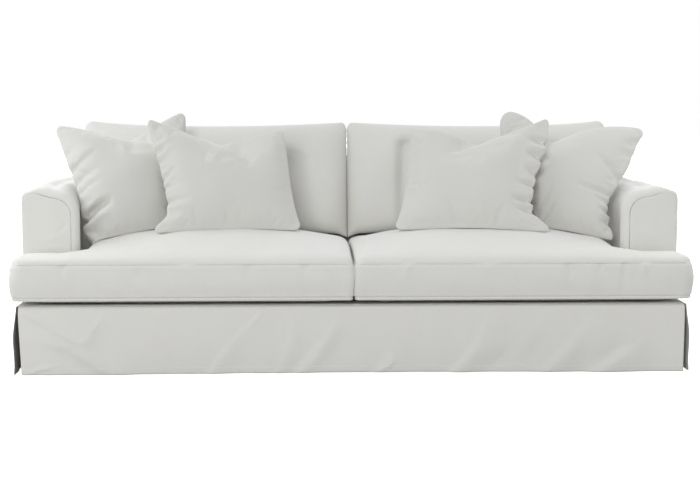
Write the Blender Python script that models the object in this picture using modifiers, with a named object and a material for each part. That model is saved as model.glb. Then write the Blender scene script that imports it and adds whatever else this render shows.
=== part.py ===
"""Slipcover set for a wide two-seat sofa, hollow where the sofa's frame goes.

Metres, +Z up, the sofa's front towards -Y and its right-hand end, seen from the front, at +X.
Depths (d) are counted back from the seat cushions' front, and heights (z) up from the floor.
The body cover is cut in flat panels of one heavy cloth: front drop, deck, arm fronts, arm covers,
side drops, inside back, back band and outside back. Seat, back and scatter cushions are filled.
"""

import bmesh
import bpy
import numpy as np

# Cloth, and the gap left between two panels at a seam.
CLOTH = 0.003
SEAM = 0.0003
CLOTH_COLOUR = (0.80, 0.79, 0.77, 1.0)
CLOTH_ROUGHNESS = 0.92

# Body cover.
MID_DEPTH = 0.5097
HALF_WIDTH = 1.209
DECK_Z = 0.250
BASE_FRONT = 0.030
DROP_HALF_WIDTH = 1.205
DROP_CORNER_TURN = 0.014
DROP_CORNER_Z = 0.190
CORNER_SETBACK = 0.006
SIDE_FLARE = 0.018
FRONT_FLARE = 0.008
BACK_FLARE = 0.008
FLARE_FROM_Z = 0.300
HEM_Z = 0.00025
HEM_LIFT = 0.0045

# Arms: flat front with a seam set in from a rolled edge, round inner corner, tight outer corner.
ARM_FRONT = 0.198
ARM_WIDTH = 0.210
ARM_TOP = 0.657
ARM_CROWN = 0.010
ARM_INNER_RADIUS = 0.095
ARM_OUTER_RADIUS = 0.024
ARM_SEAM_DROP = 0.006
ARM_OUTER_SEAM_Z = 0.600
ARM_ROLL = {"inner": 0.034, "top": 0.025, "outer": CLOTH}

# Back of the body cover.
BACK_DEPTH = 1.012
BACK_TOP = 0.750
BACK_HALF_WIDTH = 1.094
BACK_CORNER_RADIUS = 0.050
INSIDE_BACK_FOOT = 0.845
INSIDE_BACK_LEAN = 0.120

# Seat cushions: one long front edge each, with an ear that passes before the arm.
SEAT_BOTTOM = 0.2535
SEAT_SEAM = 0.404
SEAT_SHOULDER = 0.028
SEAT_CROWN = 0.075
SEAT_CROWN_FLAT = 0.85
SEAT_CROWN_X = 0.500
SEAT_CROWN_REACH = 0.560
SEAT_CROWN_DEPTH = 0.400
SEAT_BULGE = 0.012
SEAT_COLUMNS = (0.003, 0.038, 0.260, 0.500, 0.740, 0.945, 0.985, 1.030, 1.110, 1.195, 1.228)
SEAT_ROWS = (0.003, 0.036, 0.140, 0.184, 0.230, 0.400, 0.600, 0.795, 0.830)
EAR_X = 0.985
EAR_DEPTH = 0.184
EAR_CORNER_TUCK = 0.008

# Back cushions, wider above the arms than between them.
BACK_CUSHION_FOOT_DEPTH = 0.664
BACK_CUSHION_FOOT_GAP = 0.002
BACK_CUSHION_TOP = 0.893
BACK_CUSHION_DIP = 0.016
BACK_CUSHION_EAR = 0.018
BACK_CUSHION_INNER = 0.004
BACK_CUSHION_LOW_REACH = 0.982
BACK_CUSHION_HIGH_REACH = 1.074
BACK_CUSHION_FLARE_Z = (0.600, 0.718)
BACK_CUSHION_FRONT = (0.668, 0.796)
BACK_CUSHION_BULGE = 0.040
BACK_CUSHION_CELLS = (6, 5, 2)

# Scatter cushions: knife edges, tops dented by hand.
SCATTER_CELLS = 6
SCATTER_EDGE = 0.006
SCATTER_COLUMNS = (
    "name", "bottom_left", "bottom_right", "top_left", "top_right",
    "draw_left", "draw_right", "dent", "dent_at", "plump",
)
# A corner is (x, d, z).
SCATTER_CUSHIONS = (
    ("scatter_cushion_left_outer", (-0.985, 0.290, 0.456), (-0.690, 0.450, 0.518),
     (-1.138, 0.520, 0.880), (-0.650, 0.665, 0.932), 0.048, 0.020, 0.085, 0.05, 0.150),
    ("scatter_cushion_left_inner", (-0.752, 0.270, 0.506), (-0.185, 0.370, 0.508),
     (-0.780, 0.480, 0.910), (-0.261, 0.580, 0.866), 0.058, 0.012, 0.080, 0.25, 0.165),
    ("scatter_cushion_right_inner", (0.170, 0.380, 0.508), (0.765, 0.270, 0.506),
     (0.240, 0.590, 0.874), (0.775, 0.490, 0.908), 0.018, 0.036, 0.085, -0.10, 0.165),
    ("scatter_cushion_right_outer", (0.740, 0.450, 0.518), (0.985, 0.290, 0.458),
     (0.615, 0.680, 0.941), (1.164, 0.530, 0.863), 0.020, 0.050, 0.090, -0.15, 0.150),
)

# Soft folds: a ridge (or, with a negative rise, a trough) along a line on a hanging panel.
FOLD_COLUMNS = ("from_x", "from_z", "to_x", "to_z", "width", "rise")
FRONT_FOLDS = (
    (-1.20, 0.23, -0.86, 0.03, 0.060, -0.006),
    (-0.93, 0.18, -0.80, 0.00, 0.050, 0.005),
    (-0.30, 0.22, -0.40, 0.00, 0.045, -0.005),
    (-0.05, 0.20, -0.16, 0.00, 0.060, 0.006),
    (0.18, 0.16, 0.04, 0.00, 0.050, -0.004),
    (0.50, 0.20, 0.34, 0.00, 0.060, 0.005),
    (0.86, 0.22, 0.70, 0.00, 0.060, -0.005),
    (1.12, 0.22, 0.90, 0.00, 0.055, 0.006),
)
SIDE_FOLDS = (
    (0.12, 0.20, 0.17, 0.00, 0.050, 0.005),
    (0.42, 0.50, 0.36, 0.00, 0.060, -0.004),
    (0.66, 0.42, 0.72, 0.00, 0.060, 0.004),
    (0.90, 0.50, 0.86, 0.00, 0.050, -0.004),
)
BACK_FOLDS = (
    (-0.95, 0.40, -0.90, 0.00, 0.070, 0.005),
    (-0.45, 0.55, -0.52, 0.00, 0.080, -0.005),
    (0.10, 0.45, 0.06, 0.00, 0.080, 0.005),
    (0.58, 0.55, 0.66, 0.00, 0.080, -0.005),
    (1.00, 0.40, 0.95, 0.00, 0.060, 0.005),
)


def clear_scene():
    for old in list(bpy.data.objects):
        bpy.data.objects.remove(old, do_unlink=True)


def named_collection():
    collection = bpy.data.collections.new("sofa_slipcover")
    bpy.context.scene.collection.children.link(collection)
    return collection


def cloth_material(name):
    material = bpy.data.materials.new(name)
    material.use_nodes = True
    shader = material.node_tree.nodes["Principled BSDF"]
    shader.inputs["Base Color"].default_value = CLOTH_COLOUR
    shader.inputs["Roughness"].default_value = CLOTH_ROUGHNESS
    shader.inputs["Metallic"].default_value = 0.0
    material.diffuse_color = CLOTH_COLOUR
    return material


def finish(name, bm, collection):
    """Writes the mesh to its own object, with its own cloth material."""
    mesh = bpy.data.meshes.new(name)
    bm.to_mesh(mesh)
    bm.free()
    mesh.shade_smooth()
    mesh.materials.append(cloth_material(name + "_cloth"))
    part = bpy.data.objects.new(name, mesh)
    collection.objects.link(part)
    return part


def space(x, d, z):
    """Width, depth from the cushion front, and height, as points about the footprint's centre."""
    return np.stack(np.broadcast_arrays(x, d - MID_DEPTH, z), axis=-1)


def put(bm, points):
    for vertex, point in zip(bm.verts, points):
        vertex.co = point


def by_index(index, values):
    """Values read off at a place along their list, counted from 0."""
    return np.interp(index, np.arange(len(values)), values)


def station_grid(across, up, notch=None):
    """A flat grid whose lines fall on two lists of stations; notch(p, q) leaves faces out."""
    bm = bmesh.new()
    columns = len(across) - 1
    rows = len(up) - 1
    bmesh.ops.create_grid(bm, x_segments=columns, y_segments=rows, size=0.5)
    for vertex in bm.verts:
        vertex.co.x = by_index((vertex.co.x + 0.5) * columns, across)
        vertex.co.y = by_index((vertex.co.y + 0.5) * rows, up)
    if notch:
        centres = {face: face.calc_center_median() for face in bm.faces}
        outside = [face for face, centre in centres.items() if notch(centre.x, centre.y)]
        bmesh.ops.delete(bm, geom=outside, context="FACES")
    return bm


def sheet(name, bm, place, collection, reverse=False):
    """Cloth on a grid: place(p, q) gives its outer face, and Solidify its thickness inwards."""
    flat = np.array([vertex.co for vertex in bm.verts])
    put(bm, place(flat[:, 0], flat[:, 1]))
    if reverse:
        bmesh.ops.reverse_faces(bm, faces=bm.faces[:])
    thickness = finish(name, bm, collection).modifiers.new("Cloth", "SOLIDIFY")
    thickness.thickness = CLOTH
    thickness.offset = -1.0


def folds(table, x, z):
    """Sum of soft ridges: each is a bell across its line, and fades at the line's upper end."""
    total = np.zeros(np.broadcast(x, z).shape)
    for row in table:
        fold = dict(zip(FOLD_COLUMNS, row))
        along = np.array([fold["to_x"] - fold["from_x"], fold["to_z"] - fold["from_z"]])
        length = np.hypot(*along)
        dx = x - fold["from_x"]
        dz = z - fold["from_z"]
        down = np.clip((dx * along[0] + dz * along[1]) / length**2, 0.0, 1.0)
        off_x = dx - down * along[0]
        off_z = dz - down * along[1]
        away = (off_x**2 + off_z**2) / fold["width"] ** 2
        total = total + fold["rise"] * np.sin(0.5 * np.pi * down) * np.exp(-away)
    return total


def flare(amount, z):
    return amount * np.clip(1.0 - z / FLARE_FROM_Z, 0.0, 1.0) ** 1.3


def arm_top(x):
    """Height of an arm's top over x, measured outwards from the sofa's middle."""
    inner = HALF_WIDTH - ARM_WIDTH
    inner_centre = inner + ARM_INNER_RADIUS
    outer_centre = HALF_WIDTH - ARM_OUTER_RADIUS
    across = np.clip((x - inner_centre) / (outer_centre - inner_centre), 0.0, 1.0)
    top = ARM_TOP + ARM_CROWN * np.sin(np.pi * across) - ARM_SEAM_DROP * across**2
    into_inner = np.clip((inner_centre - x) / ARM_INNER_RADIUS, 0.0, 1.0)
    into_outer = np.clip((x - outer_centre) / ARM_OUTER_RADIUS, 0.0, 1.0)
    top = top - ARM_INNER_RADIUS * (1.0 - np.sqrt(1.0 - into_inner**2))
    return top - ARM_OUTER_RADIUS * (1.0 - np.sqrt(1.0 - into_outer**2))


def arm_stations():
    """Distances out from the middle where an arm's outline turns."""
    inner = HALF_WIDTH - ARM_WIDTH
    inner_arc = inner + ARM_INNER_RADIUS * (1.0 - np.cos(np.radians((0, 22, 45, 68, 90))))
    outer_arc = HALF_WIDTH - ARM_OUTER_RADIUS * (1.0 - np.sin(np.radians((0, 45, 90))))
    crown = inner_arc[-1] + (outer_arc[0] - inner_arc[-1]) * np.array((0.33, 0.67))
    return np.concatenate([inner_arc, crown, outer_arc])


def arm_outline():
    """An arm's outline from its inner foot over the top to the outer seam: x, z, and how far
    the cover's front edge rolls in towards the front panel, as a distance and a direction."""
    stations = arm_stations()
    x = np.concatenate([stations[:1], stations, stations[-1:]])
    z = np.concatenate([[DECK_Z + SEAM], arm_top(stations), [ARM_OUTER_SEAM_Z]])
    along_x = np.gradient(x)
    along_z = np.gradient(z)
    along_x[[0, 1, -1]] = 0.0
    along_z[[0, 1]] = 1.0
    along_z[-1] = -1.0
    length = np.hypot(along_x, along_z)
    in_x = along_z / length
    in_z = -along_x / length
    roll = (ARM_ROLL["inner"] * np.clip(in_x, 0.0, 1.0) ** 2 + ARM_ROLL["top"] * in_z**2
            + ARM_ROLL["outer"] * np.clip(-in_x, 0.0, 1.0) ** 2)
    return x, z, in_x, in_z, roll


def back_top(x):
    """Height of the back's top over x, with its round corners."""
    corner = BACK_HALF_WIDTH - BACK_CORNER_RADIUS
    into = np.clip((np.abs(x) - corner) / BACK_CORNER_RADIUS, 0.0, 1.0)
    return BACK_TOP - BACK_CORNER_RADIUS * (1.0 - np.sqrt(1.0 - into**2))


def inside_back_depth(z):
    return INSIDE_BACK_FOOT + INSIDE_BACK_LEAN * (z - DECK_Z)


def mirrored(stations):
    stations = np.asarray(stations)
    return np.concatenate([-stations[::-1], stations])


def front_drop(collection):
    """Hangs from the deck's front edge to the floor, free at both corners."""
    def place(s, t):
        across = 2.0 * s - 1.0
        hem = HEM_Z + HEM_LIFT * np.sin(np.pi * s) ** 2
        z = hem + (DECK_Z - CLOTH - SEAM - hem) * t
        turn = np.clip((z - DROP_CORNER_Z) / (DECK_Z - DROP_CORNER_Z), 0.0, 1.0) ** 2
        x = across * (DROP_HALF_WIDTH - DROP_CORNER_TURN * turn * across**8)
        d = BASE_FRONT - flare(FRONT_FLARE, z) - folds(FRONT_FOLDS, x, z)
        return space(x, d, z)
    grid = station_grid(np.linspace(0.0, 1.0, 45), np.linspace(0.0, 1.0, 7))
    sheet("front_drop", grid, place, collection)


def deck(collection):
    """The platform under the seat cushions, with an ear at each end before the arm."""
    inside = HALF_WIDTH - ARM_WIDTH - 2.0 * SEAM
    across = mirrored((0.25, 0.75, inside, HALF_WIDTH))
    back = (BASE_FRONT, ARM_FRONT - SEAM, 0.5, INSIDE_BACK_FOOT + CLOTH)
    grid = station_grid(across, back, lambda x, d: abs(x) > inside and d > ARM_FRONT - SEAM)
    sheet("deck", grid, lambda x, d: space(x, d, DECK_Z), collection)


def arm_front(name, sign, collection):
    """Flat facing of an arm, set in from the cover's rolled edge."""
    x, z, in_x, in_z, roll = (values[1:-1] for values in arm_outline())
    edge_x = x + in_x * (roll + 6.0 * SEAM)
    edge_z = z + in_z * (roll + 6.0 * SEAM)
    low = DECK_Z + SEAM

    def place(p, t):
        return space(sign * by_index(p, edge_x), ARM_FRONT, low + (by_index(p, edge_z) - low) * t)
    grid = station_grid(np.arange(len(edge_x)), np.linspace(0.0, 1.0, 4))
    sheet(name, grid, place, collection, reverse=sign < 0)


def arm_cover(name, sign, collection):
    """Inside of an arm and its top, from the deck to the outer seam, rolled in at the front. It
    ends at the inside back, and only the strip outside the back's own end runs on to the rear."""
    outline = arm_outline()
    turns = np.radians((0, 30, 60, 90))
    rolled_in = len(turns) - 1
    rear = BACK_DEPTH - CLOTH - SEAM
    beside_back = len(arm_stations()[:5])

    def place(p, q):
        x, z, in_x, in_z, roll = (by_index(p, values) for values in outline)
        turn = by_index(np.minimum(q, rolled_in), turns)
        inset = roll * (1.0 - np.sin(turn))
        rolled = ARM_FRONT + roll * (1.0 - np.cos(turn))
        at_back = inside_back_depth(z) + CLOTH
        d = rolled + (at_back - rolled) * np.clip(q - rolled_in, 0.0, 1.0)
        d = d + (rear - at_back) * np.clip(q - rolled_in - 1.0, 0.0, 1.0)
        return space(sign * (x + in_x * inset), d, z + in_z * inset)

    def behind(p, q):
        return p < beside_back and q > rolled_in + 1.0
    grid = station_grid(np.arange(len(outline[0])), np.arange(len(turns) + 2), behind)
    sheet(name, grid, place, collection, reverse=sign < 0)


def side_drop(name, sign, collection):
    """Outside of an arm in one piece to the floor, running forward under the deck's ear."""
    step_z = DECK_Z - CLOTH - SEAM
    rear = BACK_DEPTH - CLOTH - SEAM
    across = [BASE_FRONT + CORNER_SETBACK, 0.115, *np.linspace(ARM_FRONT, rear, 8)]
    up = [HEM_Z, 0.060, 0.125, 0.190, step_z, 0.420, ARM_OUTER_SEAM_Z - SEAM]
    grid = station_grid(across, up, lambda d, z: d < ARM_FRONT and z > step_z)

    def place(d, z):
        x = HALF_WIDTH + flare(SIDE_FLARE, z) + folds(SIDE_FOLDS, d, z) * (z < step_z)
        return space(sign * x, d, z)
    sheet(name, grid, place, collection, reverse=sign < 0)


def inside_back(collection):
    """Front of the back, between the arms and then over their tops."""
    arc = arm_stations()[:4] - SEAM
    corner = BACK_HALF_WIDTH - BACK_CORNER_RADIUS
    turn = corner + BACK_CORNER_RADIUS * np.sin(np.radians((0, 40, 70, 90)))
    outwards = np.unique(np.concatenate([[0.25, 0.7, arc[0] - SEAM], arc, turn]))

    def place(x, t):
        beside_arm = np.abs(x) < arc[0] - 0.5 * SEAM
        low = np.where(beside_arm, DECK_Z, arm_top(np.abs(x) + SEAM)) + 4.0 * SEAM
        z = low + (back_top(x) - low) * t
        return space(x, inside_back_depth(z), z)
    sheet("inside_back", station_grid(mirrored(outwards), np.linspace(0.0, 1.0, 5)), place, collection)


def back_band(collection):
    """Band over the back's top and round its two ends, down to the arms."""
    corner = BACK_HALF_WIDTH - BACK_CORNER_RADIUS
    angles = np.radians((90, 60, 30, 0))
    turn_x = corner + BACK_CORNER_RADIUS * np.cos(angles)
    turn_z = BACK_TOP - BACK_CORNER_RADIUS * (1.0 - np.sin(angles))
    foot = float(arm_top(np.array(BACK_HALF_WIDTH))) + 6.0 * SEAM
    across = mirrored([0.25, 0.7, *turn_x, BACK_HALF_WIDTH])
    half_up = np.concatenate([[BACK_TOP, BACK_TOP], turn_z, [foot]])
    up = np.concatenate([half_up[::-1], half_up])

    def place(p, t):
        z = by_index(p, up)
        front = inside_back_depth(z) + CLOTH + SEAM
        return space(by_index(p, across), front + (BACK_DEPTH - CLOTH - SEAM - front) * t, z)
    sheet("back_band", station_grid(np.arange(len(across)), (0.0, 1.0)), place, collection)


def outside_back(collection):
    """Rear panel in one piece from the back's top to the floor, as wide as the arms below."""
    corner = BACK_HALF_WIDTH - BACK_CORNER_RADIUS
    turn = corner + BACK_CORNER_RADIUS * np.sin(np.radians((0, 40, 70, 90)))
    middle = np.linspace(0.0, corner, 7)[1:-1]
    outwards = np.concatenate([middle, turn, [BACK_HALF_WIDTH + SEAM], arm_stations()[5:]])

    def place(x, t):
        on_arm = np.abs(x) > BACK_HALF_WIDTH + 0.5 * SEAM
        z = HEM_Z + (np.where(on_arm, arm_top(np.abs(x)), back_top(x)) - HEM_Z) * t
        d = BACK_DEPTH + flare(BACK_FLARE, z) + folds(BACK_FOLDS, x, z)
        return space(x, d, z)
    grid = station_grid(mirrored(outwards), np.linspace(0.0, 1.0, 9))
    sheet("outside_back", grid, place, collection, reverse=True)


def face_outwards(bm):
    bmesh.ops.recalc_face_normals(bm, faces=bm.faces[:])
    if bm.calc_volume(signed=True) < 0.0:
        bmesh.ops.reverse_faces(bm, faces=bm.faces[:])


def filled(name, bm, collection):
    """A closed cage, faced outwards, whose filling rounds it."""
    face_outwards(bm)
    smooth = finish(name, bm, collection).modifiers.new("Filling", "SUBSURF")
    smooth.levels = 1
    smooth.render_levels = 1


def thicken(bm, layers):
    """Extrudes a flat cage up through its layers, each one unit above the last, and closes it."""
    faces = bm.faces[:]
    for layer in range(1, layers):
        grown = bmesh.ops.extrude_face_region(bm, geom=faces)["geom"]
        if layer > 1:
            bmesh.ops.delete(bm, geom=faces, context="FACES")
        faces = [item for item in grown if isinstance(item, bmesh.types.BMFace)]
        for vertex in [item for item in grown if isinstance(item, bmesh.types.BMVert)]:
            vertex.co.z = layer


def seat_top(x, d):
    """Height of a seat cushion's top: a shoulder inside the seam, then a broad crown that
    rises from the front and is pressed down again under the back cushion."""
    across = np.clip(1.0 - ((x - SEAT_CROWN_X) / SEAT_CROWN_REACH) ** 2, 0.0, 1.0) ** SEAT_CROWN_FLAT
    quarter = 0.5 * np.pi * (d - SEAT_CROWN_DEPTH) / SEAT_CROWN_DEPTH
    along = np.cos(np.clip(quarter, -0.5 * np.pi, 0.5 * np.pi))
    along = np.where(d > SEAT_CROWN_DEPTH, along**2, along)
    return SEAT_SEAM + SEAT_SHOULDER + SEAT_CROWN * across * along


def seat_cushion(name, sign, collection):
    """An L in plan: the seat itself, and the ear that passes before the arm."""
    front, rear = SEAT_ROWS[0], SEAT_ROWS[-1]
    gap, reach = SEAT_COLUMNS[0], SEAT_COLUMNS[-1]
    bm = station_grid(SEAT_COLUMNS, SEAT_ROWS, lambda x, d: x > EAR_X and d > EAR_DEPTH)
    thicken(bm, 3)
    x, d, layer = np.array([vertex.co for vertex in bm.verts]).T
    beside_arm = (x > EAR_X - SEAM) & (d > EAR_DEPTH - SEAM)
    at_edge = (x < gap + SEAM) | (x > reach - SEAM) | (d < front + SEAM) | (d > rear - SEAM) | beside_arm
    top = np.where(at_edge, SEAT_SEAM, seat_top(x, d))
    z = np.select([layer < 0.5, layer < 1.5], [SEAT_BOTTOM, 0.5 * (SEAT_BOTTOM + SEAT_SEAM)], top)
    bulge = SEAT_BULGE * (layer == 1)
    corner = beside_arm & (x < EAR_X + SEAM) & (d < EAR_DEPTH + SEAM)
    d = d - np.where(d < front + SEAM, bulge, 0.0) - np.where(corner, EAR_CORNER_TUCK, 0.0)
    x = x + np.where(x > reach - SEAM, bulge, 0.0) - np.where(corner, EAR_CORNER_TUCK, 0.0)
    put(bm, space(sign * x, d, z))
    filled(name, bm, collection)


def cube_cage(cells):
    """A cube from -1 to 1, each side cut into its own number of cells."""
    bm = bmesh.new()
    bmesh.ops.create_cube(bm, size=2.0)
    for axis, count in enumerate(cells):
        along = [edge for edge in bm.edges
                 if abs(edge.verts[0].co[axis] - edge.verts[1].co[axis]) > 1.0]
        bmesh.ops.subdivide_edges(bm, edges=along, cuts=count - 1, use_grid_fill=True)
    return bm


def back_cushion(name, sign, collection):
    """Leans on the inside back: narrow between the arms, wide above them, corners up."""
    bm = cube_cage(BACK_CUSHION_CELLS)
    a, b, c = np.array([vertex.co for vertex in bm.verts]).T
    up = 0.5 * (b + 1.0)
    beside = 0.5 * BACK_CUSHION_LOW_REACH * (a + 1.0)
    foot = seat_top(beside, BACK_CUSHION_FOOT_DEPTH) + BACK_CUSHION_FOOT_GAP
    dip = BACK_CUSHION_DIP * (1.0 - a**2) * up**4
    ear = BACK_CUSHION_EAR * np.clip(a, 0.0, 1.0) ** 6 * up**6
    z = foot + (BACK_CUSHION_TOP - foot) * up - dip + ear
    wide = np.clip(np.interp(z, BACK_CUSHION_FLARE_Z, (0.0, 1.0)), 0.0, 1.0)
    wide = wide**2 * (3.0 - 2.0 * wide)
    reach = BACK_CUSHION_LOW_REACH + (BACK_CUSHION_HIGH_REACH - BACK_CUSHION_LOW_REACH) * wide
    x = BACK_CUSHION_INNER + (reach - BACK_CUSHION_INNER) * 0.5 * (a + 1.0)
    front = BACK_CUSHION_FRONT[0] + (BACK_CUSHION_FRONT[1] - BACK_CUSHION_FRONT[0]) * up
    front = front - BACK_CUSHION_BULGE * (1.0 - a**4) * (1.0 - b**4)
    rear = inside_back_depth(z) - 0.004
    d = front + (rear - front) * 0.5 * (c + 1.0)
    put(bm, space(sign * x, d, z))
    filled(name, bm, collection)


def scatter_cushion(row, collection):
    """Two panels sewn at their edge: drawn in between the corners and dented along the top."""
    cushion = dict(zip(SCATTER_COLUMNS, row))
    lines = np.linspace(-1.0, 1.0, SCATTER_CELLS + 1)
    bm = station_grid(lines, lines)
    thicken(bm, 2)
    a, b, layer = np.array([vertex.co for vertex in bm.verts]).T
    right = 0.5 * (a + 1.0)[:, None]
    up = 0.5 * (b + 1.0)[:, None]
    low = np.array(cushion["bottom_left"]) * (1.0 - right) + np.array(cushion["bottom_right"]) * right
    high = np.array(cushion["top_left"]) * (1.0 - right) + np.array(cushion["top_right"]) * right
    middle = low + (high - low) * up
    x, d, z = middle.T
    draw = np.where(a < 0.0, cushion["draw_left"], cushion["draw_right"])
    x = x - a * draw * (1.0 - b**2)
    notch = np.exp(-(((a - cushion["dent_at"]) / 0.42) ** 2)) * np.clip(up[:, 0], 0.0, 1.0) ** 2
    z = z - cushion["dent"] * notch
    edge = (1.0 - a**2) * (1.0 - b**2)
    half = 0.5 * SCATTER_EDGE + 0.5 * cushion["plump"] * np.sqrt(np.clip(edge, 0.0, 1.0)) ** 1.3
    lean = np.array(cushion["top_left"]) - np.array(cushion["bottom_left"])
    across = np.array(cushion["top_right"]) - np.array(cushion["top_left"])
    normal = np.cross(across, lean)
    normal = normal / np.linalg.norm(normal)
    side = np.where(layer > 0.5, -1.0, 1.0) * half
    put(bm, space(x + normal[0] * side, d + normal[1] * side, z + normal[2] * side))
    filled(cushion["name"], bm, collection)


def main():
    clear_scene()
    collection = named_collection()
    front_drop(collection)
    deck(collection)
    inside_back(collection)
    back_band(collection)
    outside_back(collection)
    for end, sign in (("left", -1), ("right", 1)):
        arm_front("arm_front_" + end, sign, collection)
        arm_cover("arm_cover_" + end, sign, collection)
        side_drop("side_drop_" + end, sign, collection)
        seat_cushion("seat_cushion_" + end, sign, collection)
        back_cushion("back_cushion_" + end, sign, collection)
    for row in SCATTER_CUSHIONS:
        scatter_cushion(row, collection)


main()
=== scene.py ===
"""Looks of a sofa slipcover set: body cover, seat, back and scatter cushions in one off-white cloth.

Metres, +Z up, the sofa's front towards -Y and its right-hand end, seen from the front, at +X.
Depths (d) are counted back from the seat cushions' front, and heights (z) up from the floor.
Every surface is worked out on a grid of two parameters that are lengths on the cloth.
"""

import bpy
import numpy as np
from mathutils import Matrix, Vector


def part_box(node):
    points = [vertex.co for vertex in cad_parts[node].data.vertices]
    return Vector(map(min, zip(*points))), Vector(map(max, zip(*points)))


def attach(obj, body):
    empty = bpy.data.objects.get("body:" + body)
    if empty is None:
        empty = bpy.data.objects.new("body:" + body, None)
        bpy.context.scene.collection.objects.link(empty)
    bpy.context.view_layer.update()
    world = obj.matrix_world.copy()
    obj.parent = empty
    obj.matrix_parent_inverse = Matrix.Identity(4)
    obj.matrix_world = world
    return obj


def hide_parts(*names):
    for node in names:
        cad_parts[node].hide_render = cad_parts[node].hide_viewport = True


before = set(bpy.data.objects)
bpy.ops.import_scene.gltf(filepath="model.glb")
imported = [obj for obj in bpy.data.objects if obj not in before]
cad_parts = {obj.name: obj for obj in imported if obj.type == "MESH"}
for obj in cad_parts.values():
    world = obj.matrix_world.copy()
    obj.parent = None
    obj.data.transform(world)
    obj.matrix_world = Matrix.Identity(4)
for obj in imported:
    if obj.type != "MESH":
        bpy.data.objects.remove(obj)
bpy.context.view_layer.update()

# Body cover. The floor plan and the panels' heights are the frame's own.
CLOTH = 0.0022
SEAM = 0.0003
NEARLY = 0.001
MID_DEPTH = 0.5097
HALF_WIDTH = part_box("deck")[1].x
DECK_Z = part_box("deck")[1].z
DECK_LOWERED = 0.0004
BASE_FRONT = 0.030
DROP_HALF_WIDTH = 1.205
DROP_CORNER_TURN = 0.003
DROP_FOOT_IN = (0.012, 0.005)
DROP_CORNER_Z = 0.190
CORNER_SETBACK = 0.006
FLARE = {"front": 0.008, "side": 0.016, "back": 0.008}
FLARE_FROM_Z = 0.300
VENT_SWELL = {"rise": 0.008, "z": 0.14, "half_height": 0.07, "full_to": 0.05, "gone_after": 0.25}
HEM_Z = 0.0006
HEM_LIFT = 0.0045
HEM_DEPTH = 0.028
HEM_FINE = 0.040
HEM_PROUD = 0.0009
HEM_STEP = 0.0012
HEM_GROOVE = {"depth": 0.0010, "below_top": 0.002, "width": 0.0022}
HEM_ROLL = 0.006
EDGE_ROLL = 0.013
SEAM_GROOVE = {"depth": 0.0014, "width": 0.0035}
SEAM_SWELL = {"rise": 0.0010, "at": 0.012, "width": 0.009, "share": 0.35, "size": 0.060}

SEAM_SEEDS = {
    "arm_front": 21, "arm_side": 32, "arm_edge": 33, "side_top": 42, "side_rear": 43, "band_front": 53,
    "band_rear": 54, "back_top": 62, "seat_top": 72, "boxing": 73,
}

# Soft unevenness of each surface: its height, the size of its waves, and the seed of its draw.
UNEVEN = {
    "front_drop": (0.0020, 0.16, 11), "deck": (0.0003, 0.20, 12), "arm_front": (0.0010, 0.11, 22),
    "arm_cover": (0.0016, 0.16, 31), "side_drop": (0.0025, 0.15, 41), "inside_back": (0.0012, 0.25, 51),
    "back_band": (0.0010, 0.14, 55), "outside_back": (0.0016, 0.20, 61), "seat_top": (0.0022, 0.30, 71),
    "boxing": (0.0019, 0.12, 74), "back_cushion": (0.0036, 0.22, 81), "scatter_cushion": (0.0042, 0.16, 91),
}

ARM_FRONT = 0.198
ARM_WIDTH = 0.202
ARM_TOP = 0.657
ARM_CROWN = 0.010
ARM_INNER_RADIUS = 0.095
ARM_OUTER_RADIUS = 0.024
ARM_SEAM_DROP = 0.006
ARM_OUTER_SEAM_Z = 0.600
ARM_ROLL = {"inner": 0.028, "top": 0.030, "outer": 0.007}
ARM_ROLL_CORNER = 0.075
ARM_ROLL_LOSS = 0.65
ARM_ROLL_RISE = 0.036
SIDE_ROLL_RISE = 0.010
ARM_TURN = 0.030
ARM_REAR_STRIP = 0.12
ARM_SLACK_FROM = 0.08
ARM_RECESS = {"depth": 0.020, "front_run": 0.07, "ends_at": 0.55, "rear_run": 0.20}
ARM_PUFF = 0.007
ARM_PUFF_UP = (0.150, 0.350)
ARM_PUFF_BACK = (0.100, 0.090)
ARM_FRONT_PUFF = {"rise": 0.0030, "run": 0.030, "least": 0.0008}
ARM_SOFT_SEAM = 0.45
FACES_UP = -0.02
ARM_SWELL_RUN = 0.12
ARM_SWELL = {-1: ((0.19, 0.0), (0.30, 0.007), (0.45, 0.011), (0.60, 0.009), (0.80, 0.004), (1.02, 0.0)),
             1: ((0.19, 0.0), (1.02, 0.0))}

BACK_DEPTH = 1.012
BACK_TOP = 0.750
BACK_HALF_WIDTH = 1.094
BACK_CORNER_RADIUS = 0.050
INSIDE_BACK_FOOT = 0.845
INSIDE_BACK_LEAN = 0.120

# Seat cushions.
SEAT_BOTTOM = 0.2535
SEAT_UNDERCUT = 0.090
SEAT_SEAM_NIP = {"depth": 0.0050, "up": 0.010, "width": 0.0030}
SEAT_EDGE_SOFT = 0.010
SEAT_SLACK_FROM = 0.05
SEAT_LOW_SEAM = 0.271
SEAT_TOP_SEAM = 0.400
SEAT_SHOULDER = 0.030
SEAT_SHOULDER_WIDTH = 0.050
SEAT_CROWN = 0.075
SEAT_CROWN_FLAT = 0.85
SEAT_CROWN_X = 0.500
SEAT_CROWN_REACH = 0.560
SEAT_CROWN_DEPTH = 0.400
SEAT_BULGE = 0.010
SEAT_INNER = 0.004
SEAT_REACH = 1.226
SEAT_DEPTH = 0.828
SEAT_FRONT_FACE = 0.010
SEAT_BESIDE_ARM = 0.060
EAR_X = 0.984
EAR_DEPTH = 0.184

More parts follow.
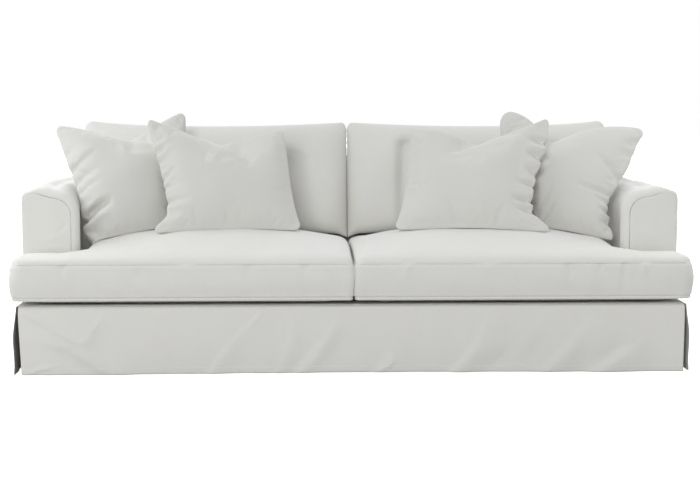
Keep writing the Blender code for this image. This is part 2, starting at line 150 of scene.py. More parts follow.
# Back cushions.
BACK_CUSHION_FOOT_DEPTH = 0.664
BACK_CUSHION_FOOT_GAP = 0.002
BACK_CUSHION_TOP = 0.893
BACK_CUSHION_DIP = 0.016
BACK_CUSHION_EAR = 0.010
BACK_CUSHION_INNER = 0.0017
BACK_CUSHION_TOUCH = 0.0006
BACK_CUSHION_BEHIND = 0.004
BACK_CUSHION_GAP_RUN = 0.03
BACK_CUSHION_LOW_REACH = 0.982
BACK_CUSHION_HIGH_REACH = 1.074
BACK_CUSHION_CORNERS = {(1.0, 1.0): (0.070, 0.17), (-1.0, 1.0): (0.045, 0.15), (1.0, -1.0): (0.060, 0.15),
                        (-1.0, -1.0): (0.050, 0.12)}
BACK_CUSHION_FLARE_Z = (0.600, 0.718)
BACK_CUSHION_FRONT = (0.668, 0.796)
BACK_CUSHION_BULGE = 0.030

# Cloth: a thread's width, how much slubs add to its relief, their two scales, and the tones between.
THREAD = 0.0011
SLUB = 0.5
SLUB_SCALE = (60.0, 900.0)
SLUB_TONES = (0.955, 1.030)
WEAVE_RELIEF = {"Strength": 0.35, "Distance": 0.0004}
CLOTH_FINISH = {"Roughness": 0.93, "Specular IOR Level": 0.18, "Sheen Weight": 0.45, "Sheen Roughness": 0.5}
BODY_COLOUR = (0.735, 0.725, 0.697)
# The cushions' and the scatter cushions' colours are darker copies of the one body cloth: painted shade,
# for the less light that reaches them.
CUSHION_SHADED_COLOUR = (0.710, 0.700, 0.673)
SCATTER_SHADED_COLOUR = (0.645, 0.636, 0.610)

# Floor, lights and camera.
WHITE = (1.0, 1.0, 1.0)
FLOOR_SIZE = 60.0
FLOOR_SEEN = (0.97, 0.97, 0.97)
FLOOR_BOUNCE = (0.52, 0.51, 0.50)
FLOOR_FINISH = {"Roughness": 0.9, "Specular IOR Level": 0.1}
LIGHT_COLOUR = (0.985, 1.0, 1.004)
ROOM_LIGHT = 0.38
TOP_LIGHT = {"tilt": (-40.0, -8.0), "spread": 100.0, "strength": 1.95}
SIDE_LIGHTS = {"places": ((-2.1, -0.2, 1.35), (2.1, -0.2, 1.35)), "size": 0.6, "powers": (11.0, 7.5)}
FRONT_LIGHT = {"place": (-2.2, -9.0, 3.9), "aim": (0.0, 0.0, 0.4), "size": 3.4, "power": 415.0}
CAMERA = {"film": 36.0, "lens": 73.42, "place": (-0.19, -5.065 - MID_DEPTH, 0.99), "down": 5.593,
          "right": 1.976, "sees_to": 100.0}

# Folds: the line's points, its width to the left and to the right or one for both, and the rise
# (below zero a trough). On the drop and the boxing a point is (x, z).
DROP_RIDGES = (
    (((-1.20, 0.245), (-1.134, 0.197), (-1.068, 0.160), (-0.99, 0.120)), 0.030, 0.012, 0.0068),
    (((-1.19, 0.150), (-1.04, 0.099), (-0.87, 0.000)), 0.036, 0.018, 0.0068),
    (((-0.880, 0.250), (-0.918, 0.185), (-0.965, 0.125)), 0.030, 0.012, 0.0068),
    (((-0.940, 0.105), (-0.835, 0.000)), 0.040, 0.018, 0.0054),
    (((-0.310, 0.250), (-0.367, 0.181), (-0.440, 0.110), (-0.52, 0.00)), 0.040, 0.012, 0.0068),
    (((-0.220, 0.245), (-0.224, 0.136), (-0.270, 0.000)), 0.034, 0.016, 0.0068),
    (((-0.030, 0.235), (-0.098, 0.117), (-0.190, 0.000)), 0.046, 0.020, 0.0115),
    (((0.150, 0.080), (0.085, 0.000)), 0.036, 0.014, 0.0068),
    (((0.500, 0.220), (0.455, 0.100), (0.365, 0.000)), 0.050, 0.018, 0.0115),
    (((0.900, 0.220), (0.798, 0.100), (0.700, 0.000)), 0.050, 0.022, 0.0101),
    (((1.080, 0.130), (0.980, 0.055), (0.880, 0.000)), 0.060, 0.016, 0.0115),
)
DROP_TROUGHS = (
    (((-1.126, 0.092), (-1.027, 0.073), (-0.921, 0.011)), 0.024, 0.040, -0.0068),
    (((-0.020, 0.170), (-0.130, 0.000)), 0.050, 0.030, -0.0054),
    (((0.590, 0.110), (0.480, 0.000)), 0.050, 0.026, -0.0068),
    (((0.700, 0.140), (0.600, 0.000)), 0.050, 0.030, -0.0068),
    (((1.000, 0.115), (0.940, 0.070), (0.870, 0.010)), 0.016, 0.040, -0.0095),
)
DROP_CREASES = (
    (((-0.906, 0.222), (-0.930, 0.175), (-0.962, 0.135)), 0.010, 0.007, 0.0041),
    (((-1.195, 0.237), (-1.140, 0.200), (-1.080, 0.170)), 0.010, 0.007, 0.0034),
    (((-0.322, 0.236), (-0.352, 0.200), (-0.392, 0.155)), 0.009, 0.007, 0.0030),
    (((-1.185, 0.000), (-1.130, 0.022), (-1.060, 0.034)), 0.012, 0.008, 0.0041),
    (((0.152, 0.062), (0.128, 0.030), (0.090, 0.012)), 0.010, 0.008, 0.0041),
)
SIDE_RIDGES = (
    (((0.12, 0.22), (0.17, 0.00)), 0.050, 0.040, 0.005),
    (((0.42, 0.50), (0.36, 0.00)), 0.050, 0.070, -0.004),
    (((0.66, 0.42), (0.72, 0.00)), 0.070, 0.050, 0.005),
    (((0.90, 0.50), (0.86, 0.00)), 0.050, -0.004),
)
BACK_RIDGES = (
    (((-0.95, 0.40), (-0.90, 0.00)), 0.070, 0.050, 0.006),
    (((-0.45, 0.55), (-0.52, 0.00)), 0.080, 0.060, -0.005),
    (((0.10, 0.45), (0.06, 0.00)), 0.090, 0.050, 0.006),
    (((0.58, 0.55), (0.66, 0.00)), 0.080, 0.060, -0.005),
    (((1.00, 0.40), (0.95, 0.00)), 0.060, 0.050, 0.005),
)


# ---------------------------------------------------------------- lengths and rounds

def capped(share):
    """The share, kept between 0 and 1."""
    return np.clip(share, 0.0, 1.0)


def smooth(share):
    """Rises from 0 to 1 with flat ends."""
    share = capped(share)
    return share**2 * (3.0 - 2.0 * share)


def bell(away, power=2):
    """1 in the middle, dying away on both sides."""
    return np.exp(-(away**power))


def round_off(radius, share):
    """How far a quarter round has fallen at a share of its radius: radius (1 - sqrt(1 - share^2))."""
    return radius * (1.0 - np.sqrt(1.0 - capped(share) ** 2))


def quarter(count):
    """Angles of a quarter turn."""
    return np.radians(np.linspace(0.0, 90.0, count))


def length_along(x, z):
    """Length of a line from its first point to each of its points."""
    return np.concatenate([[0.0], np.cumsum(np.hypot(np.diff(x), np.diff(z)))])


def eased(start, stop, count, ease=0.55):
    """Stations from start to stop whose steps are short at both ends and long in the middle."""
    share = np.linspace(0.0, 1.0, count + 1)
    return start + (stop - start) * (share - ease * np.sin(2.0 * np.pi * share) / (2.0 * np.pi))


def joined(*runs):
    """Runs of stations put end to end, each shared station once."""
    return np.concatenate([runs[0]] + [run[1:] for run in runs[1:]])


def both_ways(out):
    """Stations from the middle outwards, on both sides of it."""
    return joined(-out[::-1], out)


# ---------------------------------------------------------------- meshes

def quads_of(numbers):
    """Four point numbers for each cell of a grid of point numbers."""
    low, high = numbers[:-1], numbers[1:]
    return np.stack([low[:, :-1], high[:, :-1], high[:, 1:], low[:, 1:]], axis=-1).reshape(-1, 4)


def mesh_object(name, points, quads, cloth_at):
    """Object of smooth quads, its UV map the places on the flat cloth in metres."""
    used, quads = np.unique(quads, return_inverse=True)
    quads = quads.reshape(-1, 4)
    mesh = bpy.data.meshes.new(name)
    mesh.from_pydata(points[used], [], quads.tolist())
    layer = mesh.uv_layers.new(name="cloth")
    layer.data.foreach_set("uv", cloth_at[used][quads.ravel()].astype(np.float32).ravel())
    mesh.shade_smooth()
    piece = bpy.data.objects.new(name, mesh)
    bpy.context.scene.collection.objects.link(piece)
    return piece


def dress(piece, node, slot):
    """The piece rides on the cover, stands for its solid and takes that slot's cloth."""
    piece.data.materials.append(CLOTHS[slot])
    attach(piece, "root")
    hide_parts(node)


def panel(node, across, up, place, flip=False, keep=None):
    """A sheet of cloth over the grid across by up: place(p, q) is its outer face, and its thickness
    goes inwards. keep(p, q) says which cells there are."""
    p, q = np.meshgrid(across, up, indexing="ij")
    numbers = np.arange(p.size).reshape(p.shape)
    quads = quads_of(numbers)
    if keep:
        flat_p, flat_q = p.ravel(), q.ravel()
        quads = quads[keep(flat_p[quads].mean(axis=1), flat_q[quads].mean(axis=1))]
    if flip:
        quads = quads[:, ::-1]
    points = place(p, q).reshape(-1, 3)
    piece = mesh_object(node + "_panel", points, quads, np.stack([p, q], axis=-1).reshape(-1, 2))
    thickness = piece.modifiers.new("Cloth", "SOLIDIFY")
    thickness.thickness = CLOTH
    thickness.offset = -1.0
    dress(piece, node, "cloth")
    return piece


def space(x, d, z):
    """Width, depth from the cushion front, and height, as points about the footprint's centre."""
    return np.stack(np.broadcast_arrays(x, d - MID_DEPTH, z), axis=-1)


# ---------------------------------------------------------------- folds

def beside(line, p, q):
    """For the line's nearest point, its share of the line's length, how far (p, q) is off it, and
    on which side: 1 on the line's left, -1 on its right, between them round its ends."""
    line = np.array(line)
    runs = np.diff(line, axis=0)
    lengths = np.linalg.norm(runs, axis=1)
    passed = np.concatenate([[0.0], np.cumsum(lengths)])
    nearest = np.full(np.broadcast(p, q).shape, np.inf)
    along, turn = np.zeros(nearest.shape), np.zeros(nearest.shape)
    for start, run, length, before in zip(line, runs, lengths, passed):
        dp, dq = p - start[0], q - start[1]
        share = capped((dp * run[0] + dq * run[1]) / length**2)
        away = np.hypot(dp - share * run[0], dq - share * run[1])
        nearer = away < nearest
        along = np.where(nearer, (before + share * length) / passed[-1], along)
        towards = (run[0] * dq - run[1] * dp) / (length * np.maximum(away, 1e-9))
        turn = np.where(nearer, np.clip(towards, -1.0, 1.0), turn)
        nearest = np.minimum(nearest, away)
    return along, nearest, turn


def between(at, values, lines):
    """Values known at some places of their first axis, read at other places: each span is a cubic
    with its ends' mean slopes."""
    slope = np.gradient(values, at, axis=0)
    span = np.clip(np.searchsorted(at, lines, side="right") - 1, 0, len(at) - 2)
    shape = (-1,) + (1,) * (values.ndim - 1)
    width = (at[span + 1] - at[span]).reshape(shape)
    share = capped((lines - at[span]).reshape(shape) / width)
    late = smooth(share)
    bend = slope[span] * share * (1.0 - share) ** 2 - slope[span + 1] * share**2 * (1.0 - share)
    return values[span] * (1.0 - late) + values[span + 1] * late + width * bend


def through(knots, t):
    """Smooth curve through (place, value) knots."""
    at, value = np.array(knots).T
    return between(at, value, t.ravel()).reshape(t.shape)


SWELLS = {
    "loose": lambda t: np.sin(0.5 * np.pi * t),
    "held": lambda t: np.cos(0.5 * np.pi * t),
    "closed": lambda t: np.sin(np.pi * t),
    "creased": lambda t: np.cos(0.5 * np.pi * t) * smooth(4.0 * t),
}


def folds(rows, p, q, ends="loose", lips=0.0):
    """Sum of ridges and troughs: across its line each is a bell with a width for either side, with
    lips a counter-swell beyond it. Along it, a loose one grows from its first end, a held one dies
    away to its last, a closed one is deepest in the middle and a creased one near its first end."""
    total = np.zeros(np.broadcast(p, q).shape)
    for line, *widths, rise in rows:
        left, right = widths[0], widths[-1]
        along, off, turn = beside(line, p, q)
        away = (off / (0.5 * (left + right) + 0.5 * turn * (left - right))) ** 2
        total = total + rise * SWELLS[ends](along) * (1.0 - lips * away) * np.exp(-away)
    return total


def waves(p, q, size, seed):
    """Soft unevenness about 1 high: nine waves near that size, in drawn directions, added up."""
    draw = np.random.default_rng(seed)
    total = np.zeros(np.broadcast(p, q).shape)
    for turn, stretch, phase in draw.uniform((0.0, 0.6, 0.0), (np.pi, 1.8, 2.0 * np.pi), (9, 3)):
        wave = 2.0 * np.pi / (size * stretch)
        total = total + np.sin(wave * (p * np.cos(turn) + q * np.sin(turn)) + phase)
    return total / 3.0


def uneven(surface, p, q, seed_step=0):
    """That surface's own unevenness; the step gives its left and right piece waves of their own."""
    height, size, seed = UNEVEN[surface]
    return height * waves(p, q, size, seed + seed_step)


def stitched(seam, away, along):
    """Pull of a seam on the cloth beside it: a narrow groove on the line and a low swell beyond,
    which is a little uneven along the seam."""
    pull = 1.0 + SEAM_SWELL["share"] * waves(along, 0.0 * along, SEAM_SWELL["size"], SEAM_SEEDS[seam])
    groove = -SEAM_GROOVE["depth"] * bell(away / SEAM_GROOVE["width"])
    return groove + SEAM_SWELL["rise"] * pull * bell((away - SEAM_SWELL["at"]) / SEAM_SWELL["width"])


def hem(z):
    """A turned hem stands proud by a little, with a stitched groove under its top."""
    turned = 1.0 / (1.0 + np.exp(np.clip((z - HEM_DEPTH) / HEM_STEP, -40.0, 40.0)))
    groove = bell((z - HEM_DEPTH + HEM_GROOVE["below_top"]) / HEM_GROOVE["width"])
    return HEM_PROUD * turned - HEM_GROOVE["depth"] * groove


def flare(panel_side, z):
    """How far a hanging panel stands out at a height: most at the floor."""
    return FLARE[panel_side] * capped(1.0 - z / FLARE_FROM_Z) ** 1.3


# ---------------------------------------------------------------- body cover

def arm_top(x):
    """Height of an arm's top over x, measured outwards from the sofa's middle."""
    inner_centre = HALF_WIDTH - ARM_WIDTH + ARM_INNER_RADIUS
    outer_centre = HALF_WIDTH - ARM_OUTER_RADIUS
    across = capped((x - inner_centre) / (outer_centre - inner_centre))
    top = ARM_TOP + ARM_CROWN * np.sin(np.pi * across) - ARM_SEAM_DROP * across**2
    top = top - round_off(ARM_INNER_RADIUS, (inner_centre - x) / ARM_INNER_RADIUS)
    return top - round_off(ARM_OUTER_RADIUS, (x - outer_centre) / ARM_OUTER_RADIUS)


def arm_outline():
    """An arm's outline from its inner foot over the top to the outer seam: the length along it, x, z,
    the direction to its inside, and how far the cover's front edge rolls in, as x and z. Past the
    top's outer part it rolls straight down and in, so that the corner keeps its round."""
    inner = HALF_WIDTH - ARM_WIDTH
    arc = inner + ARM_INNER_RADIUS * (1.0 - np.cos(quarter(33)))
    outer_arc = HALF_WIDTH - ARM_OUTER_RADIUS * (1.0 - np.sin(quarter(33)))
    over = joined(arc, np.linspace(arc[-1], outer_arc[0], 16), outer_arc)
    rise = np.linspace(DECK_Z + SEAM, float(arm_top(np.array(inner))), 32)[:-1]
    fall = np.linspace(float(arm_top(np.array(HALF_WIDTH))), ARM_OUTER_SEAM_Z, 4)[1:]
    x = np.concatenate([np.full(len(rise), inner), over, np.full(len(fall), HALF_WIDTH)])
    x = x + ARM_PUFF * smooth((x - HALF_WIDTH + ARM_ROLL_CORNER) / ARM_ROLL_CORNER)
    z = np.concatenate([rise, arm_top(over), fall])
    length = length_along(x, z)
    even = np.linspace(0.0, length[-1], 92)
    x, z = np.interp(even, length, x), np.interp(even, length, z)
    along_x, along_z = np.gradient(x), np.gradient(z)
    size = np.hypot(along_x, along_z)
    in_x, in_z = along_z / size, -along_x / size
    roll = ARM_ROLL["inner"] * capped(in_x) ** 2 + ARM_ROLL["top"] * in_z**2
    corner = x > HALF_WIDTH - ARM_ROLL_CORNER
    past = smooth((x - HALF_WIDTH + ARM_ROLL_CORNER) / (ARM_ROLL_CORNER - ARM_OUTER_RADIUS))
    above = smooth((z - ARM_OUTER_SEAM_Z) / ARM_ROLL_RISE)
    pull_x = np.where(corner, -ARM_ROLL["outer"] * past, in_x * roll)
    pull_z = np.where(corner, -ARM_ROLL["top"] * above * (1.0 - ARM_ROLL_LOSS * past), in_z * roll)
    return even, x, z, in_x, in_z, pull_x, pull_z


def back_top(x):
    """Height of the back's top over x, with its round corners."""
    corner = BACK_HALF_WIDTH - BACK_CORNER_RADIUS
    return BACK_TOP - round_off(BACK_CORNER_RADIUS, (np.abs(x) - corner) / BACK_CORNER_RADIUS)


def inside_back_depth(z):
    """Depth of the leaning inside back at a height."""
    return INSIDE_BACK_FOOT + INSIDE_BACK_LEAN * (z - DECK_Z)


def front_drop():
    """Across by up: hangs from the deck's front edge and flares to the floor, where its hem rolls
    in a little. Its two ends are drawn in at the foot and turn in at the top."""
    top = DECK_Z - CLOTH - SEAM

    def place(p, q):
        across = p / DROP_HALF_WIDTH
        low = HEM_Z + HEM_LIFT * np.cos(0.5 * np.pi * across) ** 2
        z = low + (top - low) * q / top
        turn = capped((z - DROP_CORNER_Z) / (DECK_Z - DROP_CORNER_Z)) ** 2
        drawn = np.where(across < 0.0, *DROP_FOOT_IN) * (1.0 - z / top)
        x = across * (DROP_HALF_WIDTH - (DROP_CORNER_TURN * turn + drawn) * across**8)
        out = flare("front", z) + folds(DROP_RIDGES, x, z) + folds(DROP_TROUGHS, x, z, "closed")
        out = out + folds(DROP_CREASES, x, z, "closed", 0.5) + hem(z - low)
        out = out + capped(1.0 - z / top) ** 0.7 * uneven("front_drop", x, 0.5 * z)
        out = out - round_off(HEM_ROLL, 1.0 - (z - low) / HEM_ROLL)
        out = out - round_off(EDGE_ROLL, (z - top + EDGE_ROLL) / EDGE_ROLL)
        return space(x, BASE_FRONT - out, z)
    across = joined(eased(-DROP_HALF_WIDTH, 0.0, 180, 0.2), eased(0.0, DROP_HALF_WIDTH, 180, 0.2))
    up = joined(HEM_ROLL * (1.0 - np.cos(quarter(6))), np.linspace(HEM_ROLL, HEM_FINE, 18),
                np.linspace(HEM_FINE, top - EDGE_ROLL, 40), top - EDGE_ROLL * (1.0 - np.sin(quarter(10))))
    panel("front_drop", across, up, place)


def deck():
    """Across by back: flat platform cloth with an ear at each end before the arm."""
    inside = HALF_WIDTH - ARM_WIDTH - 2.0 * SEAM
    across = joined(np.linspace(-HALF_WIDTH, -inside, 12), np.linspace(-inside, inside, 90),
                    np.linspace(inside, HALF_WIDTH, 12))
    front = BASE_FRONT + EDGE_ROLL
    ear = ARM_FRONT - SEAM
    back = joined(np.linspace(front, ear, 14), np.linspace(ear, INSIDE_BACK_FOOT, 40))

    def place(x, d):
        return space(x, d, DECK_Z - DECK_LOWERED + uneven("deck", x, d))

    def keep(x, d):
        return (np.abs(x) < inside) | (d < ear)
    panel("deck", across, back, place, keep=keep)


def arm_front(end, sign):
    """Facing of an arm, set in behind the cover's rolled edge and puffed a little between seams."""
    _, x, z, in_x, in_z, pull_x, pull_z = arm_outline()
    tucked = 1.0 + SEAM * (1.0 + 2.0 * capped(in_x + 0.5)) / np.hypot(pull_x, pull_z)
    edge_x, edge_z = x + pull_x * tucked, z + pull_z * tucked
    low = DECK_Z + SEAM
    over = (in_z < FACES_UP) & (np.diff(edge_x, prepend=edge_x[0] - 1.0) > 0.0)
    columns = np.linspace(edge_x[over][0], edge_x[over][-1], 60)
    top = np.interp(columns, edge_x[over], edge_z[over])

    def place(p, q):
        high = np.interp(p, columns, top)
        height = low + (high - low) * q / (ARM_TOP - low)
        from_seam = np.minimum(p - columns[0], high - height)
        away = np.minimum(from_seam, columns[-1] - p)
        puff = ARM_FRONT_PUFF["rise"] * (1.0 - np.exp(-away / ARM_FRONT_PUFF["run"]))
        puff = puff + ARM_FRONT_PUFF["least"]
        out = puff + ARM_SOFT_SEAM * stitched("arm_front", from_seam, height)
        out = out + uneven("arm_front", p, height, sign)
        out = out + folds(ARM_FRONT_CREASES[sign], p, height, "closed", 0.6)
        return space(sign * p, ARM_FRONT - out, height)
    panel("arm_front_" + end, columns, np.linspace(0.0, ARM_TOP - low, 90), place,
          flip=sign < 0)


ARM_FRONT_CREASES = {
    -1: ((((1.088, 0.500), (1.062, 0.520), (1.050, 0.545)), 0.012, 0.010, -0.0035),
         (((1.140, 0.455), (1.100, 0.480), (1.070, 0.490)), 0.014, 0.0022),
         (((1.170, 0.430), (1.120, 0.445), (1.060, 0.440)), 0.016, 0.014, 0.0018)),
    1: ((((1.120, 0.440), (1.080, 0.470), (1.060, 0.520)), 0.020, 0.014, 0.0016),),
}
ARM_INSIDE_CREASES = (
    (((0.22, 0.30), (0.34, 0.42)), 0.030, -0.003),
    (((0.10, 0.50), (0.26, 0.58)), 0.030, -0.003),
)


def arm_cover(end, sign):
    """Length over the arm by depth: from the deck up the inside and over the top, with a quarter
    turn at the front edge. Only the strip outside the back's own end runs on to the rear."""
    even, x, z, *directions = arm_outline()
    rear = BACK_DEPTH - CLOTH - SEAM
    beside_back = even[np.searchsorted(x, BACK_HALF_WIDTH)]
    back_at = INSIDE_BACK_FOOT - ARM_FRONT + ARM_TURN

    def place(p, q):
        px, pz, nx, nz, roll_x, roll_z = (np.interp(p, even, known) for known in (x, z, *directions))
        turn = 0.5 * np.pi * capped(q / ARM_TURN)
        rolled = ARM_FRONT + np.hypot(roll_x, roll_z) * (1.0 - np.cos(turn))
        at_back = inside_back_depth(pz) + CLOTH
        d = rolled + (at_back - rolled) * capped((q - ARM_TURN) / (INSIDE_BACK_FOOT - ARM_FRONT))
        d = d + (rear - at_back) * capped((q - back_at) / ARM_REAR_STRIP)
        out = uneven("arm_cover", p, q, sign) + folds(ARM_INSIDE_CREASES, p, q, "closed", 0.6)
        out = out * capped(q / ARM_SLACK_FROM)
        out = out + ARM_SOFT_SEAM * (stitched("arm_side", even[-1] - p, q) + stitched("arm_edge", q, p))
        recess = smooth((q - ARM_TURN) / ARM_RECESS["front_run"])
        recess = recess * smooth((ARM_RECESS["ends_at"] - q) / ARM_RECESS["rear_run"])
        out = out - ARM_RECESS["depth"] * capped(nx) * recess
        lift = through(ARM_SWELL[sign], d) * smooth(-nz)
        lift = lift * smooth((px - HALF_WIDTH + ARM_WIDTH) / ARM_SWELL_RUN)
        left = 1.0 - np.sin(turn)
        return space(sign * (px + left * roll_x - nx * out), d, pz + left * roll_z - nz * out + lift)

    def keep(p, q):
        return (p > beside_back) | (q < back_at)
    depth = joined(np.linspace(0.0, ARM_TURN, 14), eased(ARM_TURN, back_at, 62, 0.2),
                   np.linspace(back_at, back_at + ARM_REAR_STRIP, 10))
    panel("arm_cover_" + end, even, depth, place, flip=sign < 0,
          keep=keep)


def side_drop(end, sign):
    """Depth by height: the outside of an arm to the floor, running forward under the deck's ear."""
    step_z = DECK_Z - CLOTH - SEAM
    rear = BACK_DEPTH - CLOTH - SEAM
    front = BASE_FRONT + CORNER_SETBACK
    round_in = ARM_ROLL["outer"]
    turned = ARM_FRONT + round_in * (1.0 - np.cos(quarter(9)))
    depth = joined(np.linspace(front, ARM_FRONT, 32), turned, np.linspace(turned[-1], rear, 84))
    up = joined(np.linspace(HEM_Z, HEM_FINE, 16), np.linspace(HEM_FINE, step_z, 22),
                np.linspace(step_z, ARM_OUTER_SEAM_Z - SEAM, 32))

    def place(d, z):
        out = flare("side", z) + folds(SIDE_RIDGES, d, z) + hem(z - HEM_Z)
        vent = 1.0 - smooth((d - VENT_SWELL["full_to"]) / VENT_SWELL["gone_after"])
        out = out + VENT_SWELL["rise"] * bell((z - VENT_SWELL["z"]) / VENT_SWELL["half_height"]) * vent
        before = round_off(round_in, (ARM_FRONT + round_in - d) / round_in)
        out = out - before * capped((z - step_z) / SIDE_ROLL_RISE)
        out = out + capped(1.0 - z / ARM_OUTER_SEAM_Z) * uneven("side_drop", 0.6 * d, 0.3 * z, sign)
        (low, rise), (near, run) = ARM_PUFF_UP, ARM_PUFF_BACK
        out = out + ARM_PUFF * smooth((z - low) / rise) * smooth((d - near) / run)
        seams = stitched("side_top", ARM_OUTER_SEAM_Z - z, d) + stitched("side_rear", rear - d, z)
        out = out + ARM_SOFT_SEAM * seams
        return space(sign * (HALF_WIDTH + out), d, z)

    def keep(d, z):
        return (d > ARM_FRONT) | (z < step_z)
    panel("side_drop_" + end, depth, up, place,
          flip=sign < 0, keep=keep)


def inside_back():
    """Across by up: the front of the back, between the arms and then over their tops."""
    corner_side = HALF_WIDTH - ARM_WIDTH - 2.0 * SEAM
    out = joined(np.linspace(0.0, corner_side, 60), eased(corner_side, BACK_HALF_WIDTH - NEARLY, 24))
    tall = BACK_TOP - DECK_Z

    def place(x, q):
        between_arms = np.abs(x) < corner_side + SEAM
        low = np.where(between_arms, DECK_Z, arm_top(np.abs(x) + SEAM)) + 4.0 * SEAM
        z = low + (back_top(x) - low) * q / tall
        return space(x, inside_back_depth(z) - uneven("inside_back", x, z), z)
    panel("inside_back", both_ways(out), np.linspace(0.0, tall, 46), place)


def back_band():
    """Round the back by depth: up one end from the arm, over the top and down the other end."""
    corner = BACK_HALF_WIDTH - BACK_CORNER_RADIUS
    turn_x = corner + BACK_CORNER_RADIUS * np.cos(quarter(13))
    turn_z = BACK_TOP - BACK_CORNER_RADIUS * (1.0 - np.sin(quarter(13)))
    foot = float(arm_top(np.array(BACK_HALF_WIDTH))) + 6.0 * SEAM
    rise = np.linspace(foot, turn_z[0], 6)[:-1]
    half = np.linspace(0.0, corner, 110)[:-1][::-1]
    x = np.concatenate([np.full(len(rise), BACK_HALF_WIDTH), turn_x, half])
    z = np.concatenate([rise, turn_z, np.full(len(half), BACK_TOP)])
    x = np.concatenate([-x, x[-2::-1]])
    z = np.concatenate([z, z[-2::-1]])
    length = length_along(x, z)
    depth = BACK_DEPTH - inside_back_depth(BACK_TOP)

    def place(p, q):
        height = np.interp(p, length, z)
        front = inside_back_depth(height) + CLOTH + SEAM
        d = front + (BACK_DEPTH - CLOTH - SEAM - front) * q / depth
        sag = stitched("band_front", q, p) + stitched("band_rear", depth - q, p) + uneven("back_band", p, q)
        return space(np.interp(p, length, x), d, height + sag * (height > BACK_TOP - NEARLY))
    panel("back_band", length, np.linspace(0.0, depth, 26), place)


def outside_back():
    """Across by up: the rear in one piece, from the back's top to the floor, as wide as the arms."""
    shoulder = BACK_HALF_WIDTH + SEAM
    out = joined(np.linspace(0.0, BACK_HALF_WIDTH - BACK_CORNER_RADIUS, 76),
                 np.linspace(BACK_HALF_WIDTH - BACK_CORNER_RADIUS, BACK_HALF_WIDTH, 12),
                 np.array([BACK_HALF_WIDTH, shoulder]), eased(shoulder, HALF_WIDTH, 20, 0.7))

    def place(x, q):
        on_arm = np.abs(x) > BACK_HALF_WIDTH + 0.5 * SEAM
        high = np.where(on_arm, arm_top(np.abs(x)), back_top(x))
        z = HEM_Z + (high - HEM_Z) * q / BACK_TOP
        out = flare("back", z) + folds(BACK_RIDGES, x, z) + hem(z - HEM_Z)
        out = out + uneven("outside_back", x, 0.4 * z) + stitched("back_top", high - z, x)
        return space(x, BACK_DEPTH + out, z)
    up = joined(np.linspace(0.0, HEM_FINE, 14), np.linspace(HEM_FINE, BACK_TOP, 56))
    panel("outside_back", both_ways(out), up, place,
          flip=True)


# ---------------------------------------------------------------- cushions

def closed_piece(node, slot, points, quads, cloth_at):
    """A filled cushion from its closed surface."""
    piece = mesh_object(node + "_cover", points, quads, cloth_at)
    dress(piece, node, slot)
    return piece


def round_corner(x, d, corner, towards, radius):
    """Presses the square corner of a plan into a quarter of a circle, or of an ellipse with the two
    radii: inside the corner's own box, each distance shrinks with the square of the other."""
    radius_x, radius_d = np.broadcast_to(radius, 2)
    p = (x - (corner[0] - towards[0] * radius_x)) * towards[0] / radius_x
    q = (d - (corner[1] - towards[1] * radius_d)) * towards[1] / radius_d
    inside = (p > 0.0) & (q > 0.0)
    round_p = capped(p) * np.sqrt(1.0 - 0.5 * capped(q) ** 2)
    round_q = capped(q) * np.sqrt(1.0 - 0.5 * capped(p) ** 2)
    x = np.where(inside, x + (round_p - p) * radius_x * towards[0], x)
    d = np.where(inside, d + (round_q - q) * radius_d * towards[1], d)
    return x, d


def seat_edge(x, d):
    """Distance to the nearest edge of the L-shaped seat, with the ridge where two meet softened."""
    past_x, past_d = np.maximum(EAR_X - x, 0.0), np.maximum(EAR_DEPTH - d, 0.0)
    notch = np.where((past_x > 0.0) & (past_d > 0.0), np.hypot(past_x, past_d), np.maximum(past_x, past_d))
    sides = np.stack([x - SEAT_INNER, SEAT_REACH - x, d, SEAT_DEPTH - d, notch])
    nearest = -SEAT_EDGE_SOFT * np.log(np.exp(-capped(sides) / SEAT_EDGE_SOFT).sum(axis=0))
    return np.where(sides.min(axis=0) <= 1e-6, 0.0, np.maximum(nearest, 0.0))


def seat_crown(x, d):
    """Broad crown that rises from the front and is pressed down again under the back cushion."""
    across = capped(1.0 - ((x - SEAT_CROWN_X) / SEAT_CROWN_REACH) ** 2) ** SEAT_CROWN_FLAT
    angle = 0.5 * np.pi * (d - SEAT_CROWN_DEPTH) / SEAT_CROWN_DEPTH
    along = np.cos(np.clip(angle, -0.5 * np.pi, 0.5 * np.pi))
    along = np.where(d > SEAT_CROWN_DEPTH, along**2, along)
    return SEAT_CROWN * across * along


def seat_top(x, d):
    """Height of a seat cushion's top: a round shoulder inside the seam, and the crown."""
    into = capped(seat_edge(x, d) / SEAT_SHOULDER_WIDTH)
    return SEAT_TOP_SEAM + SEAT_SHOULDER * np.sqrt(1.0 - (1.0 - into) ** 2) + seat_crown(x, d)


SEAT_BOXING_TUCKS = {
    -1: (
        (((1.040, 0.405), (1.037, 0.345)), 0.012, 0.009, -0.0064),
        (((0.765, 0.380), (0.762, 0.335)), 0.014, 0.010, -0.0048),
        (((0.379, 0.395), (0.383, 0.335)), 0.012, 0.010, -0.0056),
        (((0.180, 0.402), (0.180, 0.320)), 0.010, 0.012, -0.0056),
        (((0.600, 0.402), (0.596, 0.350)), 0.016, 0.0024),
    ),
    1: (
        (((0.192, 0.402), (0.181, 0.325)), 0.010, 0.012, 0.0056),
        (((0.770, 0.402), (0.767, 0.330)), 0.012, 0.010, -0.0056),
        (((0.882, 0.402), (0.882, 0.350)), 0.012, 0.010, -0.0048),
        (((1.048, 0.402), (1.041, 0.345)), 0.010, 0.012, 0.0064),
        (((0.973, 0.402), (0.967, 0.290)), 0.014, 0.010, -0.0040),
        (((0.480, 0.402), (0.484, 0.350)), 0.016, 0.0024),
    ),
}
